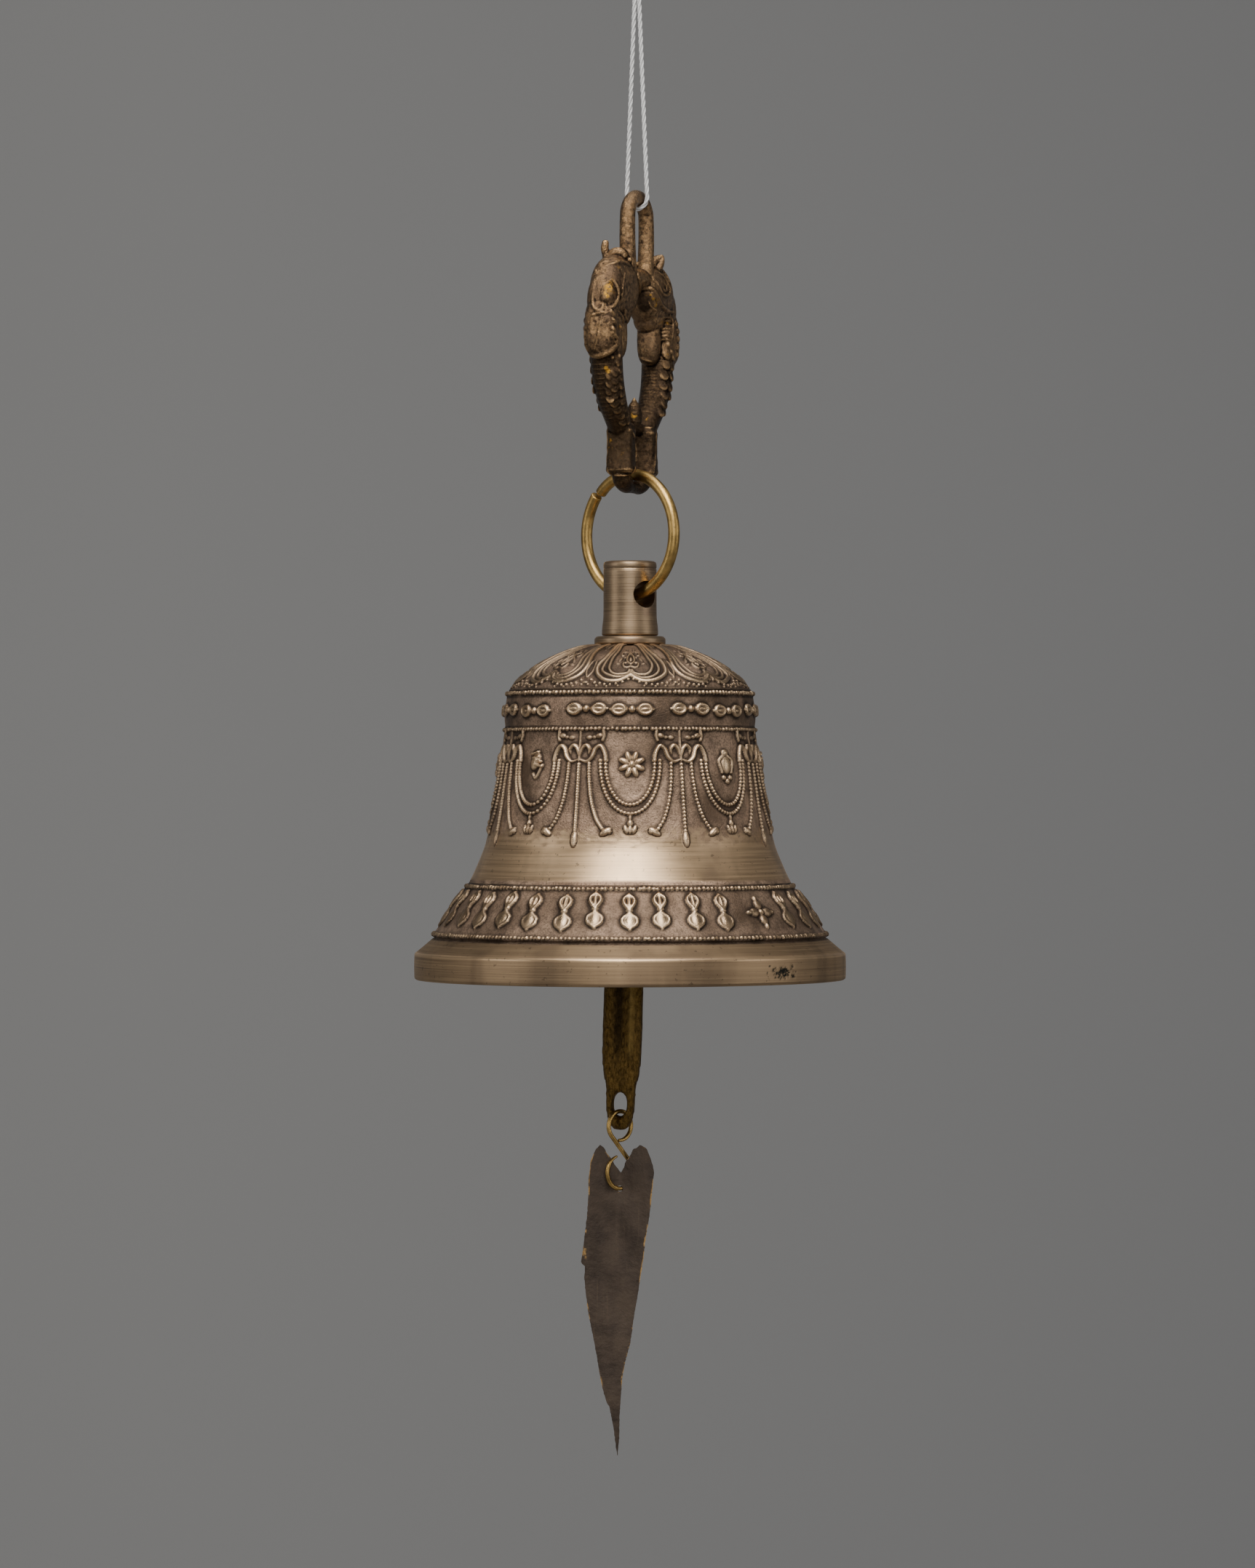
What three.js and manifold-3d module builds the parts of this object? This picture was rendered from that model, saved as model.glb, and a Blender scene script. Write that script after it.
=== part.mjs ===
// A small hanging temple bell: cast bell, split ring, makara hanger on a looped cord, clapper bar,
// S-hook and wind leaf. Millimetres, +Z up. The origin is the top of the cord's knot, which holds it all.
// Heights below are measured from the plane of the bell's lip; the front of the bell faces -Y.
import Module from 'manifold-3d';
import * as THREE from 'three';
import { mergeVertices } from 'three/addons/utils/BufferGeometryUtils.js';

const wasm = await Module();
wasm.setup();

// Driving dimensions
const LIP_RADIUS = 60;
const HELD_HEIGHT = 288; // knot top above the lip
const GAP = 0.3; // running gap between touching pieces

const CORD_RADIUS = 0.58;
const CORD_PARTING = 0.66; // half the spacing of the two strands where they meet the knot
const CORD_MEET_HEIGHT = 273;
const KNOT_RADIUS = 2.4;
const KNOT_HALF_HEIGHT = 3.2;

const CORD_SHIFT = 1.9; // how far the cord and the eye hang to the right of the bell's axis
const HANGER_SHIFT = 0.6; // the same for the rest of the hanger
const HANGER_TURN = -115; // degrees from +X to the arm nearest the front
const EYE_ROD_RADIUS = 2.15;
const EYE_ARCH_RADIUS = 6.2;
const EYE_ARCH_HEIGHT = 211.2;
const SHOULDER_TOP = 196.6;
const SHOULDER_BOTTOM = 192.5;
const HEAD_INNER = 11;
const HEAD_DEPTH = 9;
const JAW_DEPTH = 5.7;
const MOUTH_ROOF = 178.3;
const CUFF_SPACING = 8; // each cuff's distance from the hanger's middle
const CUFF_TOP = 152;
const CUFF_BOTTOM = 140.3;
const STIRRUP_RADIUS = 1.65;
const STIRRUP_HEIGHT = 136.9;

const RING_RADIUS = 16.85;
const RING_WIRE_RADIUS = 1.6;
const RING_HEIGHT = 123.6;
const RING_TURN = -44;
const RING_GAP_ANGLE = 136;
const RING_GAP_WIDTH = 1;

const STEM_RADIUS = 7.39;
const STEM_TOP = 116.3;
const STEM_HOLE_RADIUS = 3.76;
const STEM_HOLE_HEIGHT = 106.9;
const STEM_HOLE_TURN = -52;
const SHANK_RADIUS = 3;
const SHANK_END = 83;
const COLLAR_TOP = 95.3;
const COLLAR_BOTTOM = 93;
const CROWN_TOP = 92.7;
const CROWN_UNDERSIDE = 89.4;

const STAPLE_BOSS_TOP = 87.6;
const STAPLE_BOSS_BOTTOM = 80.8;
const STAPLE_EYE_RADIUS = 3.6;
const STAPLE_WIRE_RADIUS = 1.2;
const LINK_WIRE_RADIUS = 0.9;
const LINK_BEND_RADIUS = 3.5;
const LINK_HEIGHT = 16; // between the centrelines of its two bends

const CLAPPER_TURN = -27;
const CLAPPER_LEAN = 1.6; // degrees that the clapper hangs off plumb
const CLAPPER_THICKNESS = 3;
const CLAPPER_HALF_WIDTH = 5.9;
const CLAPPER_TOP_HOLE_RADIUS = 2.8;

const HOOK_TURN = 40;
const HOOK_WIRE_RADIUS = 0.6;
const HOOK_UPPER_RADIUS = 4.05;
const HOOK_LOWER_RADIUS = 4.55;
const HOOK_UPPER_HEIGHT = -40.8;
const HOOK_LOWER_HEIGHT = -53.7;

const LEAF_THICKNESS = 0.6;
const LEAF_HOLE_RADIUS = 1.9;
const LEAF_TOP = 12.2; // the lobes' height above the leaf's hole
const LEAF_LENGTH = 73.5; // from the hole down to the tip

// Materials
const metal = (color, roughness) => new THREE.MeshStandardMaterial({ color, roughness, metalness: 1 });
const castBronze = metal('#8a7258', 0.5);
const turnedBronze = metal('#9a835f', 0.4);
const hangerBronze = metal('#6e5238', 0.45);
const brass = metal('#b0945a', 0.35);
const darkBrass = metal('#7b6330', 0.55);
const leafCopper = metal('#574a42', 0.6);
const steel = metal('#77746e', 0.5);
const cotton = new THREE.MeshStandardMaterial({ color: '#dedad0', roughness: 0.95, metalness: 0 });

// Solids: closed meshes in and out of the boolean library
function toSolid(geometry) {
  const bare = geometry.index ? geometry.clone() : mergeVertices(stripped(geometry));
  const merged = mergeVertices(stripped(bare));
  return new wasm.Manifold(new wasm.Mesh({
    numProp: 3,
    vertProperties: new Float32Array(merged.attributes.position.array),
    triVerts: new Uint32Array(merged.index.array),
  }));
}

function stripped(geometry) {
  const bare = geometry.clone();
  bare.deleteAttribute('normal');
  bare.deleteAttribute('uv');
  return bare;
}

function toGeometry(solid) {
  const mesh = solid.getMesh();
  const geometry = new THREE.BufferGeometry();
  geometry.setAttribute('position', new THREE.BufferAttribute(mesh.vertProperties, 3));
  geometry.setIndex(new THREE.BufferAttribute(mesh.triVerts, 1));
  geometry.computeVertexNormals();
  return geometry;
}

const union = (...geometries) => toGeometry(geometries.map(toSolid).reduce((a, b) => a.add(b)));
const cut = (body, ...tools) => toGeometry(tools.map(toSolid).reduce((a, b) => a.subtract(b), toSolid(body)));

// Curves in the XZ plane
class Arc extends THREE.Curve {
  constructor(x, z, radius, fromDegrees, toDegrees) {
    super();
    Object.assign(this, { x, z, radius, fromDegrees, toDegrees });
  }

  getPoint(t, target = new THREE.Vector3()) {
    const angle = THREE.MathUtils.degToRad(THREE.MathUtils.lerp(this.fromDegrees, this.toDegrees, t));
    return target.set(this.x + this.radius * Math.cos(angle), 0, this.z + this.radius * Math.sin(angle));
  }
}

const line = (from, to) => new THREE.LineCurve3(from, to);
const at = (x, z) => new THREE.Vector3(x, 0, z);

function path(...curves) {
  const whole = new THREE.CurvePath();
  curves.forEach((curve) => whole.add(curve));
  return whole;
}

// A round rod along a curve, with its radius given along the curve and flat closed ends
function rod(curve, radiusAt, steps, sides) {
  const frames = curve.computeFrenetFrames(steps, false);
  const positions = [];
  const faces = [];
  for (let i = 0; i <= steps; i += 1) {
    const centre = curve.getPointAt(i / steps);
    for (let j = 0; j < sides; j += 1) {
      const angle = (2 * Math.PI * j) / sides;
      const point = centre.clone()
        .addScaledVector(frames.normals[i], radiusAt(i / steps) * Math.cos(angle))
        .addScaledVector(frames.binormals[i], radiusAt(i / steps) * Math.sin(angle));
      positions.push(point.x, point.y, point.z);
    }
  }
  for (let i = 0; i < steps; i += 1) {
    for (let j = 0; j < sides; j += 1) {
      const [a, b] = [i * sides + j, i * sides + ((j + 1) % sides)];
      faces.push(a, b, a + sides, b, b + sides, a + sides);
    }
  }
  for (let j = 1; j < sides - 1; j += 1) {
    faces.push(0, j + 1, j);
    faces.push(steps * sides, steps * sides + j, steps * sides + j + 1);
  }
  const geometry = new THREE.BufferGeometry();
  geometry.setAttribute('position', new THREE.Float32BufferAttribute(positions, 3));
  geometry.setIndex(faces);
  geometry.computeVertexNormals();
  return geometry;
}

// A plain tube: a regular polygon extruded along the curve
function tube(curve, radius, steps, sides) {
  const corners = Array.from({ length: sides }, (_, j) => {
    const angle = (2 * Math.PI * j) / sides;
    return new THREE.Vector2(radius * Math.cos(angle), radius * Math.sin(angle));
  });
  return new THREE.ExtrudeGeometry(new THREE.Shape(corners), { steps, extrudePath: curve });
}

// A turned piece: [radius, height] points, closed on themselves or ending on the axis
function turned(profile, segments) {
  const lathe = new THREE.LatheGeometry(profile.map(([r, z]) => new THREE.Vector2(r, z)), segments);
  return lathe.rotateX(Math.PI / 2);
}

const closed = (profile) => [...profile, profile[0]];

function cylinder(radius, length, sides) {
  return new THREE.CylinderGeometry(radius, radius, length, sides);
}

// An outline of [x, z] points extruded to a depth along Y and centred on it
function plate(outline, depth, bevel = 0, holes = []) {
  const shape = new THREE.Shape(outline.map(([x, z]) => new THREE.Vector2(x, z)));
  shape.holes.push(...holes);
  const geometry = new THREE.ExtrudeGeometry(shape, {
    depth: depth - 2 * bevel,
    bevelEnabled: bevel > 0,
    bevelThickness: bevel,
    bevelSize: bevel,
    bevelOffset: -bevel,
    bevelSegments: 2,
    curveSegments: 6,
  });
  return geometry.translate(0, 0, bevel - depth / 2).rotateX(Math.PI / 2);
}

function roundHole(x, z, radius) {
  return new THREE.Path().absarc(x, z, radius, 0, 2 * Math.PI, true);
}

// Cord and knot
function cordRoute() {
  const bend = EYE_ROD_RADIUS + GAP + CORD_RADIUS + 0.1;
  const rodTop = EYE_ARCH_HEIGHT + EYE_ARCH_RADIUS;
  const end = HELD_HEIGHT - 2 * KNOT_HALF_HEIGHT - GAP;
  const [left, right] = [-1, 1].map((side) => [
    at(side * CORD_PARTING, end),
    at(side * CORD_PARTING, CORD_MEET_HEIGHT),
    at(side * bend, rodTop),
  ]);
  return path(
    line(left[0], left[1]),
    line(left[1], left[2]),
    new Arc(0, rodTop, bend, 180, 360),
    line(right[2], right[1]),
    line(right[1], right[0]),
  );
}

const suspensionCord = () => tube(cordRoute(), CORD_RADIUS, 76, 8);

function cordKnot() {
  const knot = new THREE.SphereGeometry(1, 16, 10).rotateX(Math.PI / 2);
  return knot.scale(KNOT_RADIUS, KNOT_RADIUS, KNOT_HALF_HEIGHT)
    .translate(0, 0, HELD_HEIGHT - KNOT_HALF_HEIGHT);
}

// Hanger: local X runs along its two arms, local Y across it
function hangerEye() {
  const foot = SHOULDER_TOP + GAP;
  const arch = path(
    line(at(EYE_ARCH_RADIUS, foot), at(EYE_ARCH_RADIUS, EYE_ARCH_HEIGHT)),
    new Arc(0, EYE_ARCH_HEIGHT, EYE_ARCH_RADIUS, 0, 180),
    line(at(-EYE_ARCH_RADIUS, EYE_ARCH_HEIGHT), at(-EYE_ARCH_RADIUS, foot)),
  );
  return rod(arch, () => EYE_ROD_RADIUS, 26, 12);
}

function hangerShoulder() {
  const halfLength = HEAD_INNER - GAP;
  const middle = (SHOULDER_TOP + SHOULDER_BOTTOM) / 2;
  const slab = cylinder(1, SHOULDER_TOP - SHOULDER_BOTTOM, 24).rotateX(Math.PI / 2);
  return slab.scale(halfLength, HEAD_DEPTH / 2, 1).translate(0, 0, middle);
}

function hangerHead() {
  const skull = [
    [HEAD_INNER, 196.4], [13, 198.8], [16.4, 199.6], [19.6, 198.9],
    [22.4, 196.4], [24.1, 192.4], [24.8, 186], [24.6, 174.8], [23.8, 173.4], [22.3, 173.4],
    [21.9, MOUTH_ROOF], [12.4, MOUTH_ROOF], [HEAD_INNER, MOUTH_ROOF + 2],
  ];
  const jaw = [
    [12.4, 187], [9.6, 184], [8.4, 179], [8.3, 172], [9.2, 171], [11.9, 171], [12.6, 172], [12.6, 179],
  ];
  const horn = rod(
    new THREE.QuadraticBezierCurve3(at(14.8, 198), at(17.8, 203.6), at(13.4, 204.6)),
    (t) => 1.3 - 0.9 * t,
    5,
    8,
  );
  return union(plate(skull, HEAD_DEPTH, 0.5), plate(jaw, JAW_DEPTH), horn);
}

function hangerSerpent() {
  const neck = new THREE.CatmullRomCurve3([
    at(17.5, MOUTH_ROOF - GAP), at(17.3, 172), at(15.8, 164.5), at(12.3, 158), at(9, 154), at(CUFF_SPACING, 151),
  ]);
  const cuff = turned([
    [0, CUFF_TOP], [3.3, CUFF_TOP], [2.7, 149], [2.6, 145.5], [3.3, 142], [3.8, CUFF_BOTTOM], [0, CUFF_BOTTOM],
  ].reverse(), 14);
  return union(rod(neck, (t) => 4.2 - 1.1 * t, 14, 12), cuff.translate(CUFF_SPACING, 0, 0));
}

function hangerJewel() {
  const bud = turned([[0, 152.3], [1.6, 153], [2.1, 156.2], [1.7, 159], [0.5, 161.4], [0, 161.6]], 12);
  const yokeHalf = CUFF_SPACING - 3.3 - GAP;
  const yoke = rod(path(line(at(-yokeHalf, 153.6), at(yokeHalf, 153.6))), () => 1.5, 2, 10);
  return union(bud, yoke);
}

function hangerStirrup() {
  const bend = 2.9;
  const top = CUFF_BOTTOM - GAP;
  const curve = path(
    line(at(CUFF_SPACING, top), at(CUFF_SPACING, STIRRUP_HEIGHT + bend)),
    new Arc(CUFF_SPACING - bend, STIRRUP_HEIGHT + bend, bend, 0, -90),
    line(at(CUFF_SPACING - bend, STIRRUP_HEIGHT), at(bend - CUFF_SPACING, STIRRUP_HEIGHT)),
    new Arc(bend - CUFF_SPACING, STIRRUP_HEIGHT + bend, bend, -90, -180),
    line(at(-CUFF_SPACING, STIRRUP_HEIGHT + bend), at(-CUFF_SPACING, top)),
  );
  return rod(curve, () => STIRRUP_RADIUS, 18, 12);
}

// Split ring, lying in its own XZ plane
function splitRing() {
  const halfGap = THREE.MathUtils.radToDeg(RING_GAP_WIDTH / RING_RADIUS) / 2;
  const arc = new Arc(0, RING_HEIGHT, RING_RADIUS, RING_GAP_ANGLE + halfGap, RING_GAP_ANGLE + 360 - halfGap);
  return rod(arc, () => RING_WIRE_RADIUS, 60, 10);
}

// Bell
function bellShell() {
  const outside = [
    [SHANK_RADIUS + GAP, CROWN_TOP], [11, CROWN_TOP], [14.5, 92.4], [20.3, 90.4], [24.8, 88.3], [27.7, 86.3],
    [30.2, 84.3], [32.2, 82.3], [33.9, 80.2], [34.7, 78.2], [35.3, 76.6], [36, 74.2], [35.3, 71.6],
    [35.4, 68], [36.6, 62], [37.7, 54], [39.3, 45.8], [40.3, 38.6], [41.7, 33.7], [44.3, 27.6], [47.5, 23.4],
    [51.4, 17.5], [54.8, 12.2], [LIP_RADIUS - 0.4, 7.5], [LIP_RADIUS, 5.5], [LIP_RADIUS, 0.6], [LIP_RADIUS - 0.6, 0],
  ];
  const inside = [
    [51.5, 0], [50.8, 3], [49.4, 8], [47.4, 14], [44.1, 21.5], [40.4, 30], [37, 40], [35, 50], [33.5, 60],
    [32, 70], [31.2, 77], [28.6, 82], [23, 85.6], [14, 88.6], [9, CROWN_UNDERSIDE],
    [SHANK_RADIUS + GAP, CROWN_UNDERSIDE],
  ];
  return turned(closed([...outside, ...inside]).reverse(), 60);
}

function crownCollar() {
  const profile = [
    [SHANK_RADIUS + GAP, COLLAR_BOTTOM], [9.6, COLLAR_BOTTOM], [9.9, 93.4], [9.9, 94.9], [9.5, COLLAR_TOP],
    [SHANK_RADIUS + GAP, COLLAR_TOP],
  ];
  return turned(closed(profile), 28);
}

function bellStem() {
  const post = turned([
    [0, SHANK_END], [SHANK_RADIUS, SHANK_END], [SHANK_RADIUS, COLLAR_TOP + GAP], [7.8, COLLAR_TOP + GAP],
    [7.8, 97.4], [STEM_RADIUS, 100.5], [STEM_RADIUS, STEM_TOP - 1], [STEM_RADIUS - 1, STEM_TOP], [0, STEM_TOP],
  ], 32);
  const bore = cylinder(STEM_HOLE_RADIUS, 4 * STEM_RADIUS, 24).rotateZ(Math.PI / 2)
    .rotateZ(THREE.MathUtils.degToRad(STEM_HOLE_TURN)).translate(0, 0, STEM_HOLE_HEIGHT);
  return cut(post, bore);
}

function stemWasher() {
  const [bottom, top] = [STAPLE_BOSS_TOP + GAP, CROWN_UNDERSIDE - GAP];
  const inner = SHANK_RADIUS + GAP;
  return turned(closed([[inner, bottom], [8, bottom], [8, top], [inner, top]]), 20);
}

// Clapper train: each piece lies in its own XZ plane
function clapperStaple() {
  const socket = SHANK_RADIUS + GAP;
  const boss = turned([
    [0, STAPLE_BOSS_BOTTOM], [4.6, STAPLE_BOSS_BOTTOM], [5.6, 82], [5.6, STAPLE_BOSS_TOP],
    [socket, STAPLE_BOSS_TOP], [socket, SHANK_END - GAP], [0, SHANK_END - GAP],
  ], 12);
  const height = STAPLE_BOSS_BOTTOM - STAPLE_EYE_RADIUS;
  const eye = new THREE.TorusGeometry(STAPLE_EYE_RADIUS, STAPLE_WIRE_RADIUS, 8, 18)
    .rotateX(Math.PI / 2).translate(0, 0, height);
  return union(boss, eye);
}

const stapleEyeBottom = () => STAPLE_BOSS_BOTTOM - 2 * STAPLE_EYE_RADIUS;
const linkTop = () => stapleEyeBottom() + STAPLE_WIRE_RADIUS + GAP + LINK_WIRE_RADIUS;
const linkBottom = () => linkTop() - LINK_HEIGHT;

function clapperLink() {
  const [upper, lower] = [linkTop() - LINK_BEND_RADIUS, linkBottom() + LINK_BEND_RADIUS];
  const r = LINK_BEND_RADIUS;
  const outer = new THREE.Shape().absarc(0, upper, r + LINK_WIRE_RADIUS, 0, Math.PI)
    .absarc(0, lower, r + LINK_WIRE_RADIUS, Math.PI, 2 * Math.PI);
  outer.holes.push(new THREE.Path().absarc(0, upper, r - LINK_WIRE_RADIUS, 0, Math.PI)
    .absarc(0, lower, r - LINK_WIRE_RADIUS, Math.PI, 2 * Math.PI));
  const flat = new THREE.ExtrudeGeometry(outer, { depth: 2 * LINK_WIRE_RADIUS, bevelEnabled: false, curveSegments: 8 });
  return flat.translate(0, 0, -LINK_WIRE_RADIUS).rotateX(Math.PI / 2);
}

// The clapper is drawn below its pivot, the bottom bend of the link
function clapperBar() {
  const linkInside = LINK_BEND_RADIUS - LINK_WIRE_RADIUS;
  const holeTop = LINK_BEND_RADIUS - Math.sqrt(linkInside ** 2 - (CLAPPER_THICKNESS / 2) ** 2) + GAP;
  const top = holeTop + 3.2;
  const below = (height) => height - linkBottom();
  const w = CLAPPER_HALF_WIDTH;
  const half = [
    [2.6, top], [4.6, top - 1.4], [w - 0.7, top - 4.5], [w - 0.5, below(20)], [w, below(-8)], [w, below(-18)],
    [w - 0.6, below(-26)], [4.6, below(-28.5)], [4.2, below(-36.5)], [3.2, below(-40)], [1.4, below(-42)],
  ];
  const outline = [...half, ...half.map(([x, z]) => [-x, z]).reverse()];
  const holes = [
    roundHole(0, holeTop - CLAPPER_TOP_HOLE_RADIUS, CLAPPER_TOP_HOLE_RADIUS),
    new THREE.Path().absellipse(0, below(-34.8), 2.35, 3.35, 0, 2 * Math.PI, true),
  ];
  return plate(outline.reverse(), CLAPPER_THICKNESS, 0, holes);
}

function sHook() {
  const [upper, lower] = [HOOK_UPPER_HEIGHT, HOOK_LOWER_HEIGHT];
  const reach = HOOK_UPPER_RADIUS + HOOK_LOWER_RADIUS;
  const tilt = THREE.MathUtils.radToDeg(Math.asin(reach / (upper - lower)));
  const upperArc = new Arc(0, upper, HOOK_UPPER_RADIUS, -95, 180 + tilt);
  const lowerArc = new Arc(0, lower, HOOK_LOWER_RADIUS, tilt, -255);
  const curve = path(upperArc, line(upperArc.getPoint(1), lowerArc.getPoint(0)), lowerArc);
  return rod(curve, () => HOOK_WIRE_RADIUS, 46, 8);
}

// The leaf is drawn about its hanging hole
function windLeaf() {
  const outline = [
    [-5.5, LEAF_TOP], [-6.8, 10.8], [-8.1, 8], [-8.7, 2.8], [-8.8, -2.7], [-9.2, -8.2], [-10.7, -20.8],
    [-9.9, -24.8], [-8.9, -34], [-7, -43.5], [-5, -55.2], [-3, -61], [-1.9, -66], [-0.5, -LEAF_LENGTH],
    [-0.1, -63.5], [0.6, -53.2], [1.5, -48.2], [2.9, -43], [3.8, -36.4], [4.9, -30], [6, -22.8], [7, -14.7],
    [8, -9], [9, -0.6], [9.5, 4.4], [8.6, 8.2], [7.4, 11.2], [5.4, LEAF_TOP], [3.6, 11], [1.4, 7.2], [0.3, 4.4],
    [-1.4, 6.6], [-3.6, 9.8],
  ];
  return plate(outline, LEAF_THICKNESS, 0, [roundHole(0, 0, LEAF_HOLE_RADIUS)]);
}

// Assembly
function piece(name, geometry, material) {
  const mesh = new THREE.Mesh(geometry, material.clone());
  mesh.name = name;
  return mesh;
}

function turnedGroup(degrees, ...children) {
  const group = new THREE.Group();
  group.rotation.z = THREE.MathUtils.degToRad(degrees);
  group.add(...children);
  return group;
}

function halfTurn(mesh) {
  mesh.rotation.z = Math.PI;
  return mesh;
}

// The cord's loop stands across the hanger's arms
const cordGroup = turnedGroup(
  HANGER_TURN + 90,
  piece('suspension_cord', suspensionCord(), cotton),
  piece('cord_knot', cordKnot(), cotton),
);
cordGroup.position.x = CORD_SHIFT;

const eyeGroup = turnedGroup(HANGER_TURN, piece('hanger_eye', hangerEye(), hangerBronze));
eyeGroup.position.x = CORD_SHIFT;

const hangerGroup = turnedGroup(
  HANGER_TURN,
  piece('hanger_shoulder', hangerShoulder(), hangerBronze),
  piece('hanger_head_near', hangerHead(), hangerBronze),
  halfTurn(piece('hanger_head_far', hangerHead(), hangerBronze)),
  piece('hanger_serpent_near', hangerSerpent(), hangerBronze),
  halfTurn(piece('hanger_serpent_far', hangerSerpent(), hangerBronze)),
  piece('hanger_jewel', hangerJewel(), hangerBronze),
  piece('hanger_stirrup', hangerStirrup(), hangerBronze),
);
hangerGroup.position.x = HANGER_SHIFT;

const ringGroup = turnedGroup(RING_TURN, piece('split_ring', splitRing(), brass));

const bellGroup = new THREE.Group().add(
  piece('bell_shell', bellShell(), castBronze),
  piece('crown_collar', crownCollar(), turnedBronze),
  piece('bell_stem', bellStem(), turnedBronze),
  piece('stem_washer', stemWasher(), steel),
);

const stapleGroup = turnedGroup(CLAPPER_TURN, piece('clapper_staple', clapperStaple(), steel));
const linkGroup = turnedGroup(CLAPPER_TURN + 90, piece('clapper_link', clapperLink(), steel));

const clapper = piece('clapper', clapperBar(), darkBrass);
clapper.position.z = linkBottom();
clapper.rotation.set(0, THREE.MathUtils.degToRad(CLAPPER_LEAN), THREE.MathUtils.degToRad(CLAPPER_TURN), 'YXZ');

// The hook and the leaf hang plumb from the leaning clapper's lower hole
const hookShift = -(linkBottom() - HOOK_UPPER_HEIGHT) * Math.tan(THREE.MathUtils.degToRad(CLAPPER_LEAN));
const hookGroup = turnedGroup(HOOK_TURN, piece('s_hook', sHook(), brass));
hookGroup.position.x = hookShift;

const leaf = piece('wind_leaf', windLeaf(), leafCopper);
leaf.position.set(hookShift, 0, HOOK_LOWER_HEIGHT - HOOK_LOWER_RADIUS);

const bell = new THREE.Group();
bell.position.set(-CORD_SHIFT, 0, -HELD_HEIGHT);
bell.add(cordGroup, eyeGroup, hangerGroup, ringGroup, bellGroup, stapleGroup, linkGroup, clapper, hookGroup, leaf);

export default bell;
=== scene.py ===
"""Looks of the temple bell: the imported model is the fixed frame, and every visible piece is made here.
Lengths are millimetres and heights are above the plane of the bell's lip, except for the studio, the camera
and the frame's own places, which are metres."""
import math

import bmesh
import bpy
import numpy as np
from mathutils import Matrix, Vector
from mathutils.bvhtree import BVHTree


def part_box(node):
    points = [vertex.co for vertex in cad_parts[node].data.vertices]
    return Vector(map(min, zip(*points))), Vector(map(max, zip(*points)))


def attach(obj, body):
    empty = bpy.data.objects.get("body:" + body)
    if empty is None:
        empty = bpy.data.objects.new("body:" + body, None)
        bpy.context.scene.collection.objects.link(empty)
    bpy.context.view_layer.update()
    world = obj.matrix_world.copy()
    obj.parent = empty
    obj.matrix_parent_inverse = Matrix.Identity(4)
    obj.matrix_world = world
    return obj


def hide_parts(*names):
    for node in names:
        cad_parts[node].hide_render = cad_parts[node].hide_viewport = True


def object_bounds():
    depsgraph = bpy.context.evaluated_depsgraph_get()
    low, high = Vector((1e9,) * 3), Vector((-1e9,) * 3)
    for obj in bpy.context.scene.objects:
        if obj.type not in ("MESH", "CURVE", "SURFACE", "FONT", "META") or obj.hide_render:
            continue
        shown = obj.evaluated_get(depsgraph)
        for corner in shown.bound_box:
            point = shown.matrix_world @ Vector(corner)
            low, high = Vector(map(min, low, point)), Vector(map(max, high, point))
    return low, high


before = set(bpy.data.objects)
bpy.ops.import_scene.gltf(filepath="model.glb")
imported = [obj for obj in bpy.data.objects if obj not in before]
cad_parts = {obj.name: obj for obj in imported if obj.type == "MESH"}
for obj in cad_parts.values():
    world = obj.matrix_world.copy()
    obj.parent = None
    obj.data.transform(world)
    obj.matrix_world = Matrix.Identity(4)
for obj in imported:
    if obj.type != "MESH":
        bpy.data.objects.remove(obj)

CAD_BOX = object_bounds()
MM = 0.001
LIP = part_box("bell_shell")[0][2]  # height of the lip's plane in the frame
AXIS = (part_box("crown_collar")[0][0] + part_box("crown_collar")[1][0]) / 2  # the bell's axis across the frame
COLUMNS = 1080  # mesh columns round the bell
TILE = 45  # degrees that the dome's and the wall's ornament repeat at
WANDER = 0.06  # how far the cast skin strays from its turned form

# ---------------------------------------------------------------- small tools


def spline(points, step=None, count=None):
    """Points on a smooth line through the given ones, evenly spaced."""
    p = np.asarray(points, float)
    ends = np.vstack([2 * p[0] - p[1], p, 2 * p[-1] - p[-2]])
    t = np.linspace(0, 1, 24, endpoint=False)[:, None]
    fine = []
    for a, b, c, d in zip(ends, ends[1:], ends[2:], ends[3:]):
        fine.append(0.5 * (2 * b + (c - a) * t + (2 * a - 5 * b + 4 * c - d) * t**2
                           + (3 * b - a - 3 * c + d) * t**3))
    return spaced(np.vstack(fine + [p[-1:]]), step, count)


def distances(path):
    """Distance along a polyline at each of its points."""
    return np.concatenate([[0], np.cumsum(np.linalg.norm(np.diff(path, axis=0), axis=1))])


def spaced(points, step=None, count=None):
    """Points at even distances along a polyline."""
    p = np.asarray(points, float)
    along = distances(p)
    count = count or max(2, int(math.ceil(along[-1] / step)) + 1)
    at = np.linspace(0, along[-1], count)
    return np.column_stack([np.interp(at, along, column) for column in p.T])


def arc(centre, radius, start, end, count=24):
    """Points of an arc in the XZ plane, in degrees from +X towards +Z."""
    a = np.radians(np.linspace(start, end, count))
    return np.column_stack([centre[0] + radius * np.cos(a), centre[1] + radius * np.sin(a)])


def full_turn(count):
    """Even angles once round, in radians."""
    return np.linspace(0, 2 * math.pi, count, endpoint=False)


def upright(outline):
    """[x, z] points as [x, 0, z] points."""
    outline = np.asarray(outline, float)
    return np.column_stack([outline[:, 0], np.zeros(len(outline)), outline[:, 1]])


def turn(points, degrees):
    """Points turned about the bell's axis."""
    c, s = math.cos(math.radians(degrees)), math.sin(math.radians(degrees))
    return points @ np.array([[c, s, 0], [-s, c, 0], [0, 0, 1]])


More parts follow.
